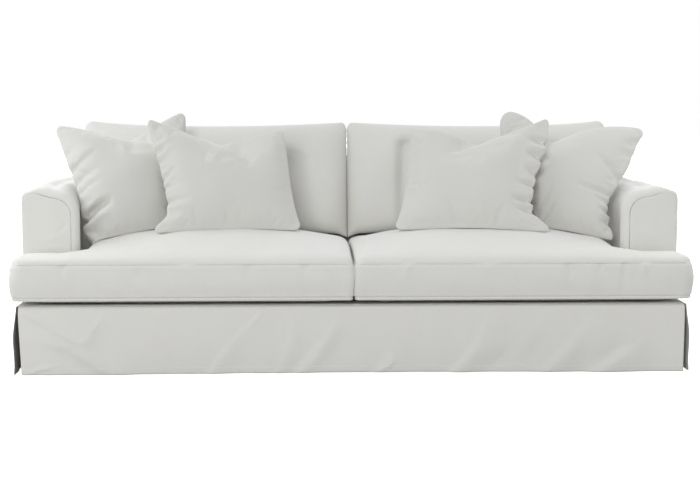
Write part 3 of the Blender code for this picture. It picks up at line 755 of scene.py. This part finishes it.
# Which of the plan's corners are rounded: the corner, its outward direction, and its radius.
SEAT_CORNERS = (
    ((SEAT_INNER, 0.0), (-1.0, -1.0), 0.018),
    ((SEAT_REACH, 0.0), (1.0, -1.0), 0.050),
    ((SEAT_REACH, EAR_DEPTH), (1.0, 1.0), 0.030),
    ((EAR_X, SEAT_DEPTH), (1.0, 1.0), 0.050),
    ((SEAT_INNER, SEAT_DEPTH), (-1.0, 1.0), 0.018),
)


def seat_boxing(around, sign):
    """Strip round the seat's edge, from the low seam to the top one: how far it stands out, length
    along it by share of its height. It bulges between its seams, and the low one nips it in."""
    length = length_along(*around.T)[:-1]
    s, share = np.meshgrid(length, eased(0.0, 1.0, 44, 0.80)[1:-1], indexing="ij")
    z = SEAT_LOW_SEAM + (SEAT_TOP_SEAM - SEAT_LOW_SEAM) * share
    x, d = (np.broadcast_to(column[:-1, None], z.shape) for column in around.T)
    from_seam = np.minimum(z - SEAT_LOW_SEAM, SEAT_TOP_SEAM - z)
    out = SEAT_BULGE * np.sin(np.pi * share) ** 0.8 + stitched("boxing", from_seam, s)
    out = out + np.sin(np.pi * share) * uneven("boxing", s, z, sign)
    nip = bell((z - SEAT_LOW_SEAM - SEAT_SEAM_NIP["up"]) / SEAT_SEAM_NIP["width"])
    out = out - SEAT_SEAM_NIP["depth"] * nip
    out = out + (d < SEAT_FRONT_FACE) * folds(SEAT_BOXING_TUCKS[sign], x, z, "held")
    beside_arm = (x < EAR_X) & (x > EAR_X - SEAT_BESIDE_ARM) & (d > EAR_DEPTH)
    return s, z, np.where(beside_arm, np.minimum(out, NEARLY), out)


def seat_cushion(end, sign):
    """An L in plan. Top and bottom are grids over the plan, and the boxing is a strip round its
    edge; all three share the points of the two seams."""
    ear_i, ear_j = 104, 30
    columns = joined(eased(SEAT_INNER, EAR_X, ear_i, 0.75), eased(EAR_X, SEAT_REACH, 34, 0.7))
    rows = joined(eased(0.0, EAR_DEPTH, ear_j, 0.7), eased(EAR_DEPTH, SEAT_DEPTH, 70, 0.7))
    x, d = np.meshgrid(columns, rows, indexing="ij")
    numbers = np.arange(x.size).reshape(x.shape)
    quads = quads_of(numbers)
    flat_x, flat_d = x.ravel(), d.ravel()
    centre_x, centre_d = flat_x[quads].mean(axis=1), flat_d[quads].mean(axis=1)
    quads = quads[(centre_x < EAR_X) | (centre_d < EAR_DEPTH)]

    edge = seat_edge(x, d)
    crown = seat_top(x, d)
    crown = crown + capped(edge / SEAT_SLACK_FROM) * uneven("seat_top", x, 0.6 * d, sign)
    crown = np.where(edge <= 0.0, SEAT_TOP_SEAM, crown + stitched("seat_top", edge, x + d))
    under = smooth(capped(edge / SEAT_UNDERCUT) ** 2)
    belly = SEAT_LOW_SEAM - (SEAT_LOW_SEAM - SEAT_BOTTOM) * under

    ring = np.concatenate([numbers[:-1, 0], numbers[-1, :ear_j], numbers[-1:ear_i:-1, ear_j],
                           numbers[ear_i, ear_j:-1], numbers[ear_i:0:-1, -1], numbers[0, :0:-1]])
    plan_x, plan_d = x, d
    for corner, towards, radius in SEAT_CORNERS:
        plan_x, plan_d = round_corner(plan_x, plan_d, corner, towards, radius)
    top_points = np.stack([plan_x, plan_d, crown], axis=-1).reshape(-1, 3)
    low_points = np.stack([plan_x, plan_d, belly], axis=-1).reshape(-1, 3)

    around = top_points[np.append(ring, ring[0]), :2]
    strip_s, strip_z, out = seat_boxing(around, sign)
    around = around[:-1]
    tangent = np.roll(around, -1, axis=0) - np.roll(around, 1, axis=0)
    tangent = tangent / np.linalg.norm(tangent, axis=1, keepdims=True)
    outward = np.stack([tangent[:, 1], -tangent[:, 0]], axis=-1)
    strip_plan = around[:, None, :] + outward[:, None, :] * out[..., None]
    strip = np.concatenate([strip_plan, strip_z[..., None]], axis=-1)

    count = x.size
    points = np.concatenate([top_points, low_points, strip.reshape(-1, 3)])
    strip_numbers = 2 * count + np.arange(strip_z.size).reshape(strip_z.shape)
    wall = np.concatenate([(ring + count)[:, None], strip_numbers, ring[:, None]], axis=1)
    wall = np.concatenate([wall, wall[:1]])
    faces = np.concatenate([quads, (quads + count)[:, ::-1], quads_of(wall)])
    strip_at = np.stack([strip_s, strip_z], axis=-1).reshape(-1, 2)
    cloth_at = np.concatenate([points[:2 * count, :2], strip_at])
    if sign < 0:
        faces = faces[:, ::-1]
    placed = space(sign * points[:, 0], points[:, 1], points[:, 2])
    closed_piece("seat_cushion_" + end, "cushion_cloth", placed, faces, cloth_at)


def fine_at_ends(count):
    """Lines from -1 to 1, closer together towards both ends."""
    return np.sin(0.5 * np.pi * np.linspace(-1.0, 1.0, count))


def two_panels(rows_a, rows_b, place):
    """Front and rear panels on one grid from -1 to 1 each way, sharing their sewn edge.
    place(a, b, side) gives the front for side 1 and the rear for side -1."""
    a, b = np.meshgrid(rows_a, rows_b, indexing="ij")
    numbers = np.arange(a.size).reshape(a.shape)
    rear = numbers + a.size
    edge = np.zeros(a.shape, bool)
    edge[[0, -1], :] = True
    edge[:, [0, -1]] = True
    rear[edge] = numbers[edge]
    points = np.concatenate([place(a, b, 1.0).reshape(-1, 3), place(a, b, -1.0).reshape(-1, 3)])
    return points, np.concatenate([quads_of(numbers), quads_of(rear)[:, ::-1]])


# Held dents are full at their first end; closed ones are deepest in the middle.
BACK_CUSHION_DENTS = {
    -1: ((((0.225, 0.750), (0.185, 0.680), (0.120, 0.440)), 0.090, 0.120, -0.046),),
    1: ((((0.234, 0.790), (0.228, 0.700), (0.218, 0.400)), 0.050, 0.024, -0.040),),
}
BACK_CUSHION_CREASES = {
    -1: ((((0.300, 0.774), (0.215, 0.760), (0.130, 0.735)), 0.050, 0.020, -0.010),
         (((0.30, 0.52), (0.60, 0.49)), 0.030, -0.004)),
    1: ((((0.180, 0.806), (0.235, 0.804), (0.300, 0.798)), 0.018, 0.040, -0.008),
        (((0.30, 0.52), (0.60, 0.49)), 0.030, -0.004)),
}
# Openings between the two cushions' inner seams: height, half height.
BACK_GAP_OPENINGS = ((0.846, 0.005), (0.826, 0.009), (0.796, 0.005))


def back_cushion(end, sign):
    """A soft box leaning on the inside back: narrow between the arms, wide above them, its outer
    corner up. Its thickness falls to the sewn edge as a high-powered round."""
    def place(a, b, side):
        full = capped((1.0 - np.abs(a) ** 7) * (1.0 - np.abs(b) ** 5)) ** 0.5
        loose = capped((1.0 - a**8) * (1.0 - b**8))
        for towards, radius in BACK_CUSHION_CORNERS.items():
            a, b = round_corner(a, b, towards, towards, radius)
        up = 0.5 * (b + 1.0)
        along = 0.5 * BACK_CUSHION_LOW_REACH * (a + 1.0)
        foot = seat_top(along, BACK_CUSHION_FOOT_DEPTH + 0.0 * along) + BACK_CUSHION_FOOT_GAP
        dip = BACK_CUSHION_DIP * (1.0 - a**2) * up**4
        ear = BACK_CUSHION_EAR * capped(a) ** 6 * up**6
        z = foot + (BACK_CUSHION_TOP - foot) * up - dip + ear
        wide = smooth(np.interp(z, BACK_CUSHION_FLARE_Z, (0.0, 1.0)))
        reach = BACK_CUSHION_LOW_REACH + (BACK_CUSHION_HIGH_REACH - BACK_CUSHION_LOW_REACH) * wide
        inner = BACK_CUSHION_TOUCH + np.zeros(z.shape)
        at_gap = (BACK_CUSHION_INNER - BACK_CUSHION_TOUCH) * np.exp(-(a + 1.0) / BACK_CUSHION_GAP_RUN)
        for height, half_height in BACK_GAP_OPENINGS:
            inner = inner + at_gap * bell((z - height) / half_height, 4)
        x = inner + (reach - inner) * 0.5 * (a + 1.0)
        front = BACK_CUSHION_FRONT[0] + (BACK_CUSHION_FRONT[1] - BACK_CUSHION_FRONT[0]) * up
        rear = inside_back_depth(z) - BACK_CUSHION_BEHIND
        half = 0.5 * (rear - front) * full
        bulge = BACK_CUSHION_BULGE * (1.0 - a**4) * (1.0 - b**4)
        marks = folds(BACK_CUSHION_CREASES[sign], x, z, "closed", 0.3)
        marks = marks + folds(BACK_CUSHION_DENTS[sign], x, z, "held")
        marks = marks + uneven("back_cushion", x, z, sign)
        d = 0.5 * (front + rear) - side * half
        if side > 0.0:
            d = d - bulge - loose * marks
        return space(sign * x, d, z)
    points, faces = two_panels(fine_at_ends(131), fine_at_ends(101), place)
    if sign < 0:
        faces = faces[:, ::-1]
    closed_piece("back_cushion_" + end, "cushion_cloth", points, faces, points[:, [0, 2]])


# Scatter cushions: the corners of bottom and top are (x, d, z), left then right. Dent is how deep the
# V is, dent_at where its point is from -1 to 1, flank how steeply its two sides leave that point, and
# bulk the share of the thickness before the seams.
# Sides: how far each is drawn in, by its share of the height, from -1 at the foot to 1 at the top.
# Tucks run from the sewn edge into the face and die away: points (x, z), widths, rise.
# Lobes are shares of the thickness round the V: the near one stands proud and folds over sharply, and
# beyond its crease the far one's face falls back to the seam.
SCATTER_CUSHIONS = {
    "scatter_cushion_left_outer": {
        "bottom": ((-0.990, 0.300, 0.440), (-0.690, 0.440, 0.490)),
        "top": ((-1.143, 0.520, 0.885), (-0.650, 0.665, 0.938)),
        "dent": 0.092, "dent_at": 0.13, "flank": (1.3, 1.3), "plump": 0.155, "bulk": 0.50,
        "sides": (
            ((-0.74, 0.000), (-0.48, 0.008), (-0.25, 0.016), (0.04, 0.017), (0.36, 0.009)),
            ((0.0, 0.010), (0.7, -0.010)),
        ),
        "tucks": (
            (((-1.093, 0.765), (-1.045, 0.793)), 0.013, -0.004),
            (((-1.080, 0.728), (-1.030, 0.757), (-0.985, 0.785)), 0.014, 0.004),
            (((-1.069, 0.706), (-1.028, 0.733), (-0.980, 0.764)), 0.012, -0.009),
            (((-1.053, 0.655), (-1.012, 0.683), (-0.960, 0.696)), 0.012, -0.009),
            (((-1.039, 0.618), (-0.997, 0.642), (-0.950, 0.659)), 0.010, -0.007),
            (((-1.027, 0.590), (-0.980, 0.592)), 0.012, -0.008),
            (((-1.030, 0.520), (-0.977, 0.562), (-0.915, 0.588)), 0.010, 0.018, -0.075),
            (((-1.000, 0.500), (-0.950, 0.528), (-0.920, 0.530)), 0.012, 0.014, 0.022),
            (((-1.010, 0.455), (-0.960, 0.476), (-0.930, 0.480)), 0.022, 0.030, -0.060),
        ),
        "lobes": (
            (((-0.930, 0.840), (-0.880, 0.822), (-0.765, 0.796)), 0.050, 0.007, -0.75),
            (((-0.840, 0.830), (-0.770, 0.870), (-0.700, 0.915)), 0.026, 0.050, -0.60),
            (((-0.835, 0.806), (-0.940, 0.840), (-1.040, 0.865)), 0.045, 0.020, 0.22),
        ),
    },
    "scatter_cushion_left_inner": {
        "bottom": ((-0.752, 0.265, 0.490), (-0.185, 0.360, 0.490)),
        "top": ((-0.785, 0.480, 0.914), (-0.258, 0.580, 0.868)),
        "dent": 0.082, "dent_at": 0.04, "flank": (1.1, 1.1), "plump": 0.165, "bulk": 0.38,
        "sides": (
            ((-0.865, 0.028), (-0.69, 0.064), (-0.50, 0.068), (-0.19, 0.058), (0.23, 0.040), (0.62, 0.018)),
            ((-0.70, 0.010), (-0.29, 0.013), (0.43, 0.006)),
        ),
        "tucks": (
            (((-0.754, 0.797), (-0.722, 0.809), (-0.680, 0.828)), 0.010, 0.006),
            (((-0.750, 0.776), (-0.710, 0.793)), 0.010, -0.009),
            (((-0.746, 0.757), (-0.714, 0.772), (-0.672, 0.798)), 0.010, 0.006),
            (((-0.742, 0.736), (-0.695, 0.758)), 0.010, -0.009),
            (((-0.736, 0.710), (-0.690, 0.728)), 0.010, -0.007),
            (((-0.730, 0.670), (-0.700, 0.694), (-0.660, 0.718)), 0.010, -0.014),
            (((-0.720, 0.650), (-0.660, 0.656)), 0.008, -0.013),
            (((-0.711, 0.602), (-0.608, 0.598)), 0.008, -0.015),
            (((-0.702, 0.575), (-0.615, 0.575)), 0.011, 0.007),
            (((-0.735, 0.534), (-0.690, 0.556)), 0.012, -0.007),
        ),
        "lobes": (
            (((-0.550, 0.826), (-0.506, 0.802), (-0.375, 0.725)), 0.050, 0.007, -0.85),
            (((-0.480, 0.806), (-0.380, 0.836), (-0.280, 0.864)), 0.026, 0.055, -0.65),
            (((-0.455, 0.762), (-0.560, 0.812), (-0.680, 0.866)), 0.045, 0.020, 0.22),
        ),
    },
    "scatter_cushion_right_inner": {
        "bottom": ((0.163, 0.370, 0.490), (0.765, 0.265, 0.490)),
        "top": ((0.251, 0.590, 0.866), (0.780, 0.490, 0.917)),
        "dent": 0.084, "dent_at": -0.03, "flank": (2.0, 1.0), "plump": 0.165, "bulk": 0.38,
        "sides": (
            ((-0.78, 0.012), (-0.485, 0.019), (0.31, 0.012)),
            ((-0.84, 0.040), (-0.68, 0.074), (-0.465, 0.078), (-0.17, 0.066), (0.03, 0.054), (0.41, 0.022)),
        ),
        "tucks": (
            (((0.748, 0.882), (0.733, 0.843)), 0.012, -0.007),
            (((0.770, 0.818), (0.690, 0.830)), 0.013, 0.010, -0.030),
            (((0.763, 0.788), (0.700, 0.797)), 0.009, 0.010),
            (((0.758, 0.762), (0.680, 0.776)), 0.016, 0.012, -0.037),
            (((0.745, 0.730), (0.690, 0.742)), 0.010, 0.007),
            (((0.737, 0.698), (0.670, 0.722)), 0.016, 0.012, -0.033),
            (((0.723, 0.655), (0.630, 0.663)), 0.009, -0.025),
            (((0.702, 0.602), (0.664, 0.598), (0.605, 0.604)), 0.010, -0.033),
            (((0.702, 0.584), (0.630, 0.588)), 0.009, 0.007),
            (((0.698, 0.559), (0.612, 0.571)), 0.010, -0.020),
        ),
        "lobes": (
            (((0.560, 0.826), (0.516, 0.806), (0.385, 0.756)), 0.007, 0.050, -0.85),
            (((0.490, 0.810), (0.410, 0.836), (0.300, 0.852)), 0.055, 0.026, -0.65),
            (((0.470, 0.786), (0.600, 0.835), (0.700, 0.880)), 0.020, 0.045, 0.22),
            (((0.800, 0.960), (0.765, 0.820), (0.725, 0.700), (0.705, 0.580), (0.715, 0.460)), 0.040, 0.100,
             -0.50),
        ),
    },
    "scatter_cushion_right_outer": {
        "bottom": ((0.740, 0.440, 0.490), (1.000, 0.290, 0.452)),
        "top": ((0.630, 0.680, 0.942), (1.168, 0.530, 0.870)),
        "dent": 0.105, "dent_at": -0.33, "flank": (2.6, 2.6), "plump": 0.150, "bulk": 0.50,
        "sides": (
            ((0.0, -0.030), (0.55, -0.046), (0.80, -0.030)),
            ((-0.85, 0.018), (-0.66, 0.040), (-0.34, 0.064), (-0.02, 0.050), (0.28, 0.028), (0.62, 0.018)),
        ),
        "tucks": (
            (((1.128, 0.815), (1.075, 0.797)), 0.014, -0.010),
            (((1.096, 0.766), (1.035, 0.760)), 0.012, -0.010),
            (((1.055, 0.665), (1.002, 0.710), (0.965, 0.752)), 0.014, -0.014),
            (((1.028, 0.640), (0.975, 0.668)), 0.008, 0.006),
            (((1.010, 0.612), (0.946, 0.620), (0.860, 0.641)), 0.008, -0.012),
            (((1.002, 0.584), (0.940, 0.593)), 0.008, -0.014),
            (((1.002, 0.551), (0.948, 0.560)), 0.010, -0.020),
            (((1.002, 0.530), (0.955, 0.542)), 0.007, 0.007),
            (((1.006, 0.507), (0.950, 0.525)), 0.012, -0.022),
            (((0.783, 0.795), (0.810, 0.820), (0.835, 0.850)), 0.010, -0.007),
        ),
        "lobes": (
            (((0.840, 0.846), (0.810, 0.820), (0.780, 0.795)), 0.010, 0.040, -0.50),
            (((0.850, 0.850), (0.960, 0.866), (1.080, 0.868)), 0.030, 0.040, -0.30),
        ),
    },
}
SCATTER_EDGE = 0.004
SCATTER_EDGE_SHARE = 0.15
SCATTER_FULL = 0.56
SCATTER_LEAST = 0.12
SCATTER_CORNER = 0.13
SCATTER_DENT_TIP = 0.07
SEAT_REST = 0.001

# Filling: the cloth is cut larger by 1.2% and blown up, its seam held.
FILL_LINES = 65
FILL_FRAMES = 20
FILL_MOST = 0.025
FILL_SEAM_RAMP = 0.12
FILL_CALM = 0.20
FILL_RULES = {
    "quality": 6, "mass": 0.3, "tension_stiffness": 15.0, "compression_stiffness": 15.0,
    "shear_stiffness": 5.0, "bending_stiffness": 0.3, "use_pressure": True,
    "uniform_pressure_force": 4.0, "shrink_min": -0.012, "shrink_max": -0.012,
    "vertex_group_mass": "seam",
}


def filled_out(points, quads, seam):
    """How far air in a closed cover, its seam held, would move each point: cloth cut a little larger
    than the shape buckles at the seam. No point moves further than FILL_MOST."""
    mesh = bpy.data.meshes.new("filling")
    mesh.from_pydata(points, [], quads.tolist())
    held = bpy.data.objects.new("filling", mesh)
    bpy.context.scene.collection.objects.link(held)
    group = held.vertex_groups.new(name="seam")
    group.add(seam.tolist(), 1.0, "REPLACE")
    cloth = held.modifiers.new("Cloth", "CLOTH")
    for rule, value in FILL_RULES.items():
        setattr(cloth.settings, rule, value)
    cloth.settings.effector_weights.gravity = 0.0
    cloth.collision_settings.use_collision = False
    cloth.point_cache.frame_start = 1
    cloth.point_cache.frame_end = FILL_FRAMES
    for moment in range(1, FILL_FRAMES + 1):
        bpy.context.scene.frame_set(moment)
    filled = held.evaluated_get(bpy.context.evaluated_depsgraph_get())
    moved = np.empty(len(points) * 3, np.float32)
    filled.data.vertices.foreach_get("co", moved)
    bpy.data.objects.remove(held)
    bpy.data.meshes.remove(mesh)
    bpy.context.scene.frame_set(1)
    step = moved.reshape(-1, 3) - points
    size = np.linalg.norm(step, axis=1, keepdims=True)
    return step * np.minimum(1.0, FILL_MOST / np.maximum(size, 1e-9))


def scatter_face(cushion):
    """Blunt corners, drawn in between them, and a V pressed into the top. The V's depth is
    1 - sqrt(t^2 + tip^2), t the share of the way from its point to a corner."""
    (bottom_left, bottom_right), (top_left, top_right) = np.array((cushion["bottom"], cushion["top"]))
    normal = np.cross(top_right - top_left, top_left - bottom_left)
    normal = normal / np.linalg.norm(normal)
    left_side, right_side = (((-1.0, 0.0), *knots, (1.0, 0.0)) for knots in cushion["sides"])
    at = cushion["dent_at"]

    def place(a, b, side, marked=True):
        edge = capped((1.0 - a**2) * (1.0 - b**2))
        at_edge = capped(1.0 - (1.0 - np.abs(a)) / SCATTER_EDGE_SHARE)
        far = np.abs(a - at) / np.where(a < at, 1.0 + at, 1.0 - at)
        notch = capped(1.0 - np.sqrt(far**2 + SCATTER_DENT_TIP**2)) / (1.0 - SCATTER_DENT_TIP)
        notch = notch ** np.where(a < at, *cushion["flank"])
        for towards in ((-1.0, -1.0), (1.0, -1.0), (-1.0, 1.0), (1.0, 1.0)):
            a, b = round_corner(a, b, towards, towards, SCATTER_CORNER)
        right, up = 0.5 * (a + 1.0)[..., None], 0.5 * (b + 1.0)[..., None]
        low = bottom_left * (1.0 - right) + bottom_right * right
        high = top_left * (1.0 - right) + top_right * right
        x, d, z = np.moveaxis(low + (high - low) * up, -1, 0)
        x = x - a * np.where(a < 0.0, through(left_side, b), through(right_side, b))
        z = z - cushion["dent"] * notch * capped(up[..., 0]) ** 2.5
        marks = folds(cushion["tucks"], x, z, "held") * marked
        x = x + 0.5 * np.sign(a) * at_edge * marks
        bulk = cushion["bulk"] if side > 0.0 else 1.0 - cushion["bulk"]
        half = 0.5 * SCATTER_EDGE + cushion["plump"] * edge**SCATTER_FULL * bulk
        marks = marks + uneven("scatter_cushion", x, z) * np.sqrt(edge)
        if side > 0.0:
            half = half * np.maximum(1.0 + folds(cushion["lobes"], x, z, "creased"), SCATTER_LEAST)
        else:
            marks = marks * at_edge
        away = side * np.maximum(half + side * marks, 0.0)
        return space(x + normal[0] * away, d + normal[1] * away, z + normal[2] * away)
    return place


def filling(cushion, place, lines):
    """The step that the filling gives each point of both faces. It is found on a coarse grid, dies
    away at the seam and at the V's creases, and is read between the coarse grid's lines."""
    coarse = np.linspace(-1.0, 1.0, FILL_LINES)
    rough, faces = two_panels(coarse, coarse, lambda a, b, side: place(a, b, side, False))
    used, numbers = np.unique(faces, return_inverse=True)
    a, b = np.meshgrid(coarse, coarse, indexing="ij")
    outwards = np.maximum(np.abs(a), np.abs(b))
    on_edge = outwards == 1.0
    seam = np.searchsorted(used, np.flatnonzero(on_edge.ravel()))
    step = np.zeros(rough.shape)
    step[used] = filled_out(rough[used], numbers.reshape(-1, 4), seam)
    step = step.reshape(2, FILL_LINES, FILL_LINES, 3)
    step[1][on_edge] = step[0][on_edge]
    near_lobes = np.abs(folds(cushion["lobes"], rough[:, 0], rough[:, 2], "held"))
    calm = 1.0 - smooth(near_lobes / FILL_CALM).reshape(2, FILL_LINES, FILL_LINES)
    step = step * (smooth((1.0 - outwards) / FILL_SEAM_RAMP) * calm)[..., None]
    finer = []
    for face_step in step:
        across = between(coarse, face_step, lines)
        finer.append(np.moveaxis(between(coarse, np.moveaxis(across, 1, 0), lines), 0, 1))
    return np.stack(finer).reshape(-1, 3)


def scatter_cushion(name, cushion):
    """Two panels sewn at their edge and filled out, kept off the seat."""
    place = scatter_face(cushion)
    lines = fine_at_ends(129)
    points, faces = two_panels(lines, lines, place)
    points = points + filling(cushion, place, lines)
    resting = seat_top(np.abs(points[:, 0]), points[:, 1] + MID_DEPTH) + SEAT_REST
    points[:, 2] = np.maximum(points[:, 2], resting)
    closed_piece(name, "scatter_cloth", points, faces, points[:, [0, 2]])


# ---------------------------------------------------------------- cloth

def feed(links, sockets, given):
    """Each socket named takes its value, or a link where it is given another node's output."""
    for name, value in given.items():
        if isinstance(value, bpy.types.NodeSocket):
            links.new(value, sockets[name])
        else:
            sockets[name].default_value = value


def add_node(tree, kind, given=None, **settings):
    """A shader node of that kind, with its settings and what goes into it."""
    node = tree.nodes.new("ShaderNode" + kind)
    for name, value in settings.items():
        setattr(node, name, value)
    feed(tree.links, node.inputs, given or {})
    return node


def weave_group():
    """Plain weave with slubs: threads as two crossed rows of waves on the cloth's own lengths."""
    group = bpy.data.node_groups.new("plain_weave", "ShaderNodeTree")
    for name, value in (("Thread", THREAD), ("Slub", SLUB)):
        socket = group.interface.new_socket(name, in_out="INPUT", socket_type="NodeSocketFloat")
        socket.default_value = value
    for name in ("Height", "Tone"):
        group.interface.new_socket(name, in_out="OUTPUT", socket_type="NodeSocketFloat")
    given, result = group.nodes.new("NodeGroupInput"), group.nodes.new("NodeGroupOutput")
    uv = add_node(group, "UVMap", uv_map="cloth").outputs["UV"]
    parts = add_node(group, "SeparateXYZ", {0: uv}).outputs

    def maths(kind, first, second=None):
        values = {0: first} if second is None else {0: first, 1: second}
        return add_node(group, "Math", values, operation=kind).outputs[0]

    def slubs_along(scale):
        place = add_node(group, "Mapping", {"Vector": uv, "Scale": scale})
        noise = {"Vector": place.outputs["Vector"], "Scale": 1.0, "Detail": 2.0}
        return add_node(group, "TexNoise", noise).outputs["Fac"]

    turns = maths("DIVIDE", np.pi, given.outputs["Thread"])
    warp = maths("SINE", maths("MULTIPLY", parts["X"], turns))
    weft = maths("SINE", maths("MULTIPLY", parts["Y"], turns))
    height = maths("ABSOLUTE", maths("MULTIPLY", warp, weft))
    long, short = SLUB_SCALE
    slubs = maths("ADD", slubs_along((long, short, 1.0)), slubs_along((short, long, 1.0)))
    slubs = maths("MULTIPLY", slubs, 0.5)
    height = maths("ADD", height, maths("MULTIPLY", slubs, given.outputs["Slub"]))
    feed(group.links, result.inputs, {"Height": height, "Tone": slubs})
    return group


def opaque(colour, share=1.0):
    """The colour or a share of it, with full alpha."""
    return tuple(share * part for part in colour) + (1.0,)


def cloth_material(name, colour, weave):
    """Matt off-white cloth: woven relief, a little slub in the tone, and soft sheen."""
    material = bpy.data.materials.new(name)
    material.use_nodes = True
    tree = material.node_tree
    threads = add_node(tree, "Group", node_tree=weave).outputs
    low, high = SLUB_TONES
    tones = {"Factor": threads["Tone"], 6: opaque(colour, low), 7: opaque(colour, high)}
    relief = {"Height": threads["Height"], **WEAVE_RELIEF}
    feed(tree.links, tree.nodes["Principled BSDF"].inputs, {
        "Base Color": add_node(tree, "Mix", tones, data_type="RGBA").outputs[2],
        "Normal": add_node(tree, "Bump", relief).outputs["Normal"],
        **CLOTH_FINISH,
    })
    return material


# ---------------------------------------------------------------- floor, light and camera

def add_light(name, kind, energy, **settings):
    """A light of the room's own colour; the caller places it."""
    data = bpy.data.lights.new(name, kind)
    data.energy = energy
    data.color = LIGHT_COLOUR
    for setting, value in settings.items():
        setattr(data, setting, value)
    light = bpy.data.objects.new(name, data)
    bpy.context.scene.collection.objects.link(light)
    return light


def floor_and_light():
    """Plain pale floor and room, a wide soft light from above, one from the front and the left, and
    a small one over each end."""
    bpy.ops.mesh.primitive_plane_add(size=FLOOR_SIZE)
    floor = bpy.context.object
    floor.name = "floor"
    pale = bpy.data.materials.new("pale_floor")
    pale.use_nodes = True
    tree = pale.node_tree
    seen = add_node(tree, "LightPath").outputs["Is Camera Ray"]
    tones = {"Factor": seen, 6: opaque(FLOOR_BOUNCE), 7: opaque(FLOOR_SEEN)}
    feed(tree.links, tree.nodes["Principled BSDF"].inputs, {
        "Base Color": add_node(tree, "Mix", tones, data_type="RGBA").outputs[2],
        "Emission Color": opaque(WHITE), "Emission Strength": seen, **FLOOR_FINISH,
    })
    floor.data.materials.append(pale)

    world = bpy.data.worlds.new("studio")
    world.use_nodes = True
    tree = world.node_tree
    room = tree.nodes["Background"]
    feed(tree.links, room.inputs, {"Color": opaque(LIGHT_COLOUR), "Strength": ROOM_LIGHT})
    pale_room = add_node(tree, "Background", {"Color": opaque(WHITE), "Strength": 1.0})
    seen = add_node(tree, "LightPath").outputs["Is Camera Ray"]
    both = add_node(tree, "MixShader", {0: seen, 1: room.outputs[0], 2: pale_room.outputs[0]})
    feed(tree.links, tree.nodes["World Output"].inputs, {"Surface": both.outputs[0]})
    bpy.context.scene.world = world

    top = add_light("top", "SUN", TOP_LIGHT["strength"], angle=np.radians(TOP_LIGHT["spread"]))
    top.rotation_euler = (*np.radians(TOP_LIGHT["tilt"]), 0.0)
    front = add_light("front", "AREA", FRONT_LIGHT["power"], size=FRONT_LIGHT["size"])
    front.location = FRONT_LIGHT["place"]
    aim = Vector(FRONT_LIGHT["aim"]) - front.location
    front.rotation_euler = aim.to_track_quat("-Z", "Y").to_euler()
    for number, (place, power) in enumerate(zip(SIDE_LIGHTS["places"], SIDE_LIGHTS["powers"])):
        strip = add_light("side_%d" % number, "AREA", power, size=SIDE_LIGHTS["size"])
        strip.location = place
        strip.visible_camera = False
    bpy.context.scene.view_settings.view_transform = "Standard"


def camera():
    """Long lens at seated eye height, a little left of the middle."""
    data = bpy.data.cameras.new("camera")
    data.sensor_width = CAMERA["film"]
    data.lens = CAMERA["lens"]
    data.clip_end = CAMERA["sees_to"]
    held = bpy.data.objects.new("camera", data)
    held.location = CAMERA["place"]
    held.rotation_euler = np.radians((90.0 - CAMERA["down"], 0.0, -CAMERA["right"]))
    bpy.context.scene.collection.objects.link(held)
    bpy.context.scene.camera = held


WEAVE = weave_group()
CLOTHS = {
    "cloth": cloth_material("body_cloth", BODY_COLOUR, WEAVE),
    # The cushion and scatter cushion cloths are darker copies of the body cloth: painted shade.
    "cushion_cloth": cloth_material("cushion_cloth", CUSHION_SHADED_COLOUR, WEAVE),
    "scatter_cloth": cloth_material("scatter_cloth", SCATTER_SHADED_COLOUR, WEAVE),
}
camera()
floor_and_light()
front_drop()
deck()
inside_back()
back_band()
outside_back()
for end, sign in (("left", -1), ("right", 1)):
    arm_front(end, sign)
    arm_cover(end, sign)
    side_drop(end, sign)
    seat_cushion(end, sign)
    back_cushion(end, sign)
for name, cushion in SCATTER_CUSHIONS.items():
    scatter_cushion(name, cushion)
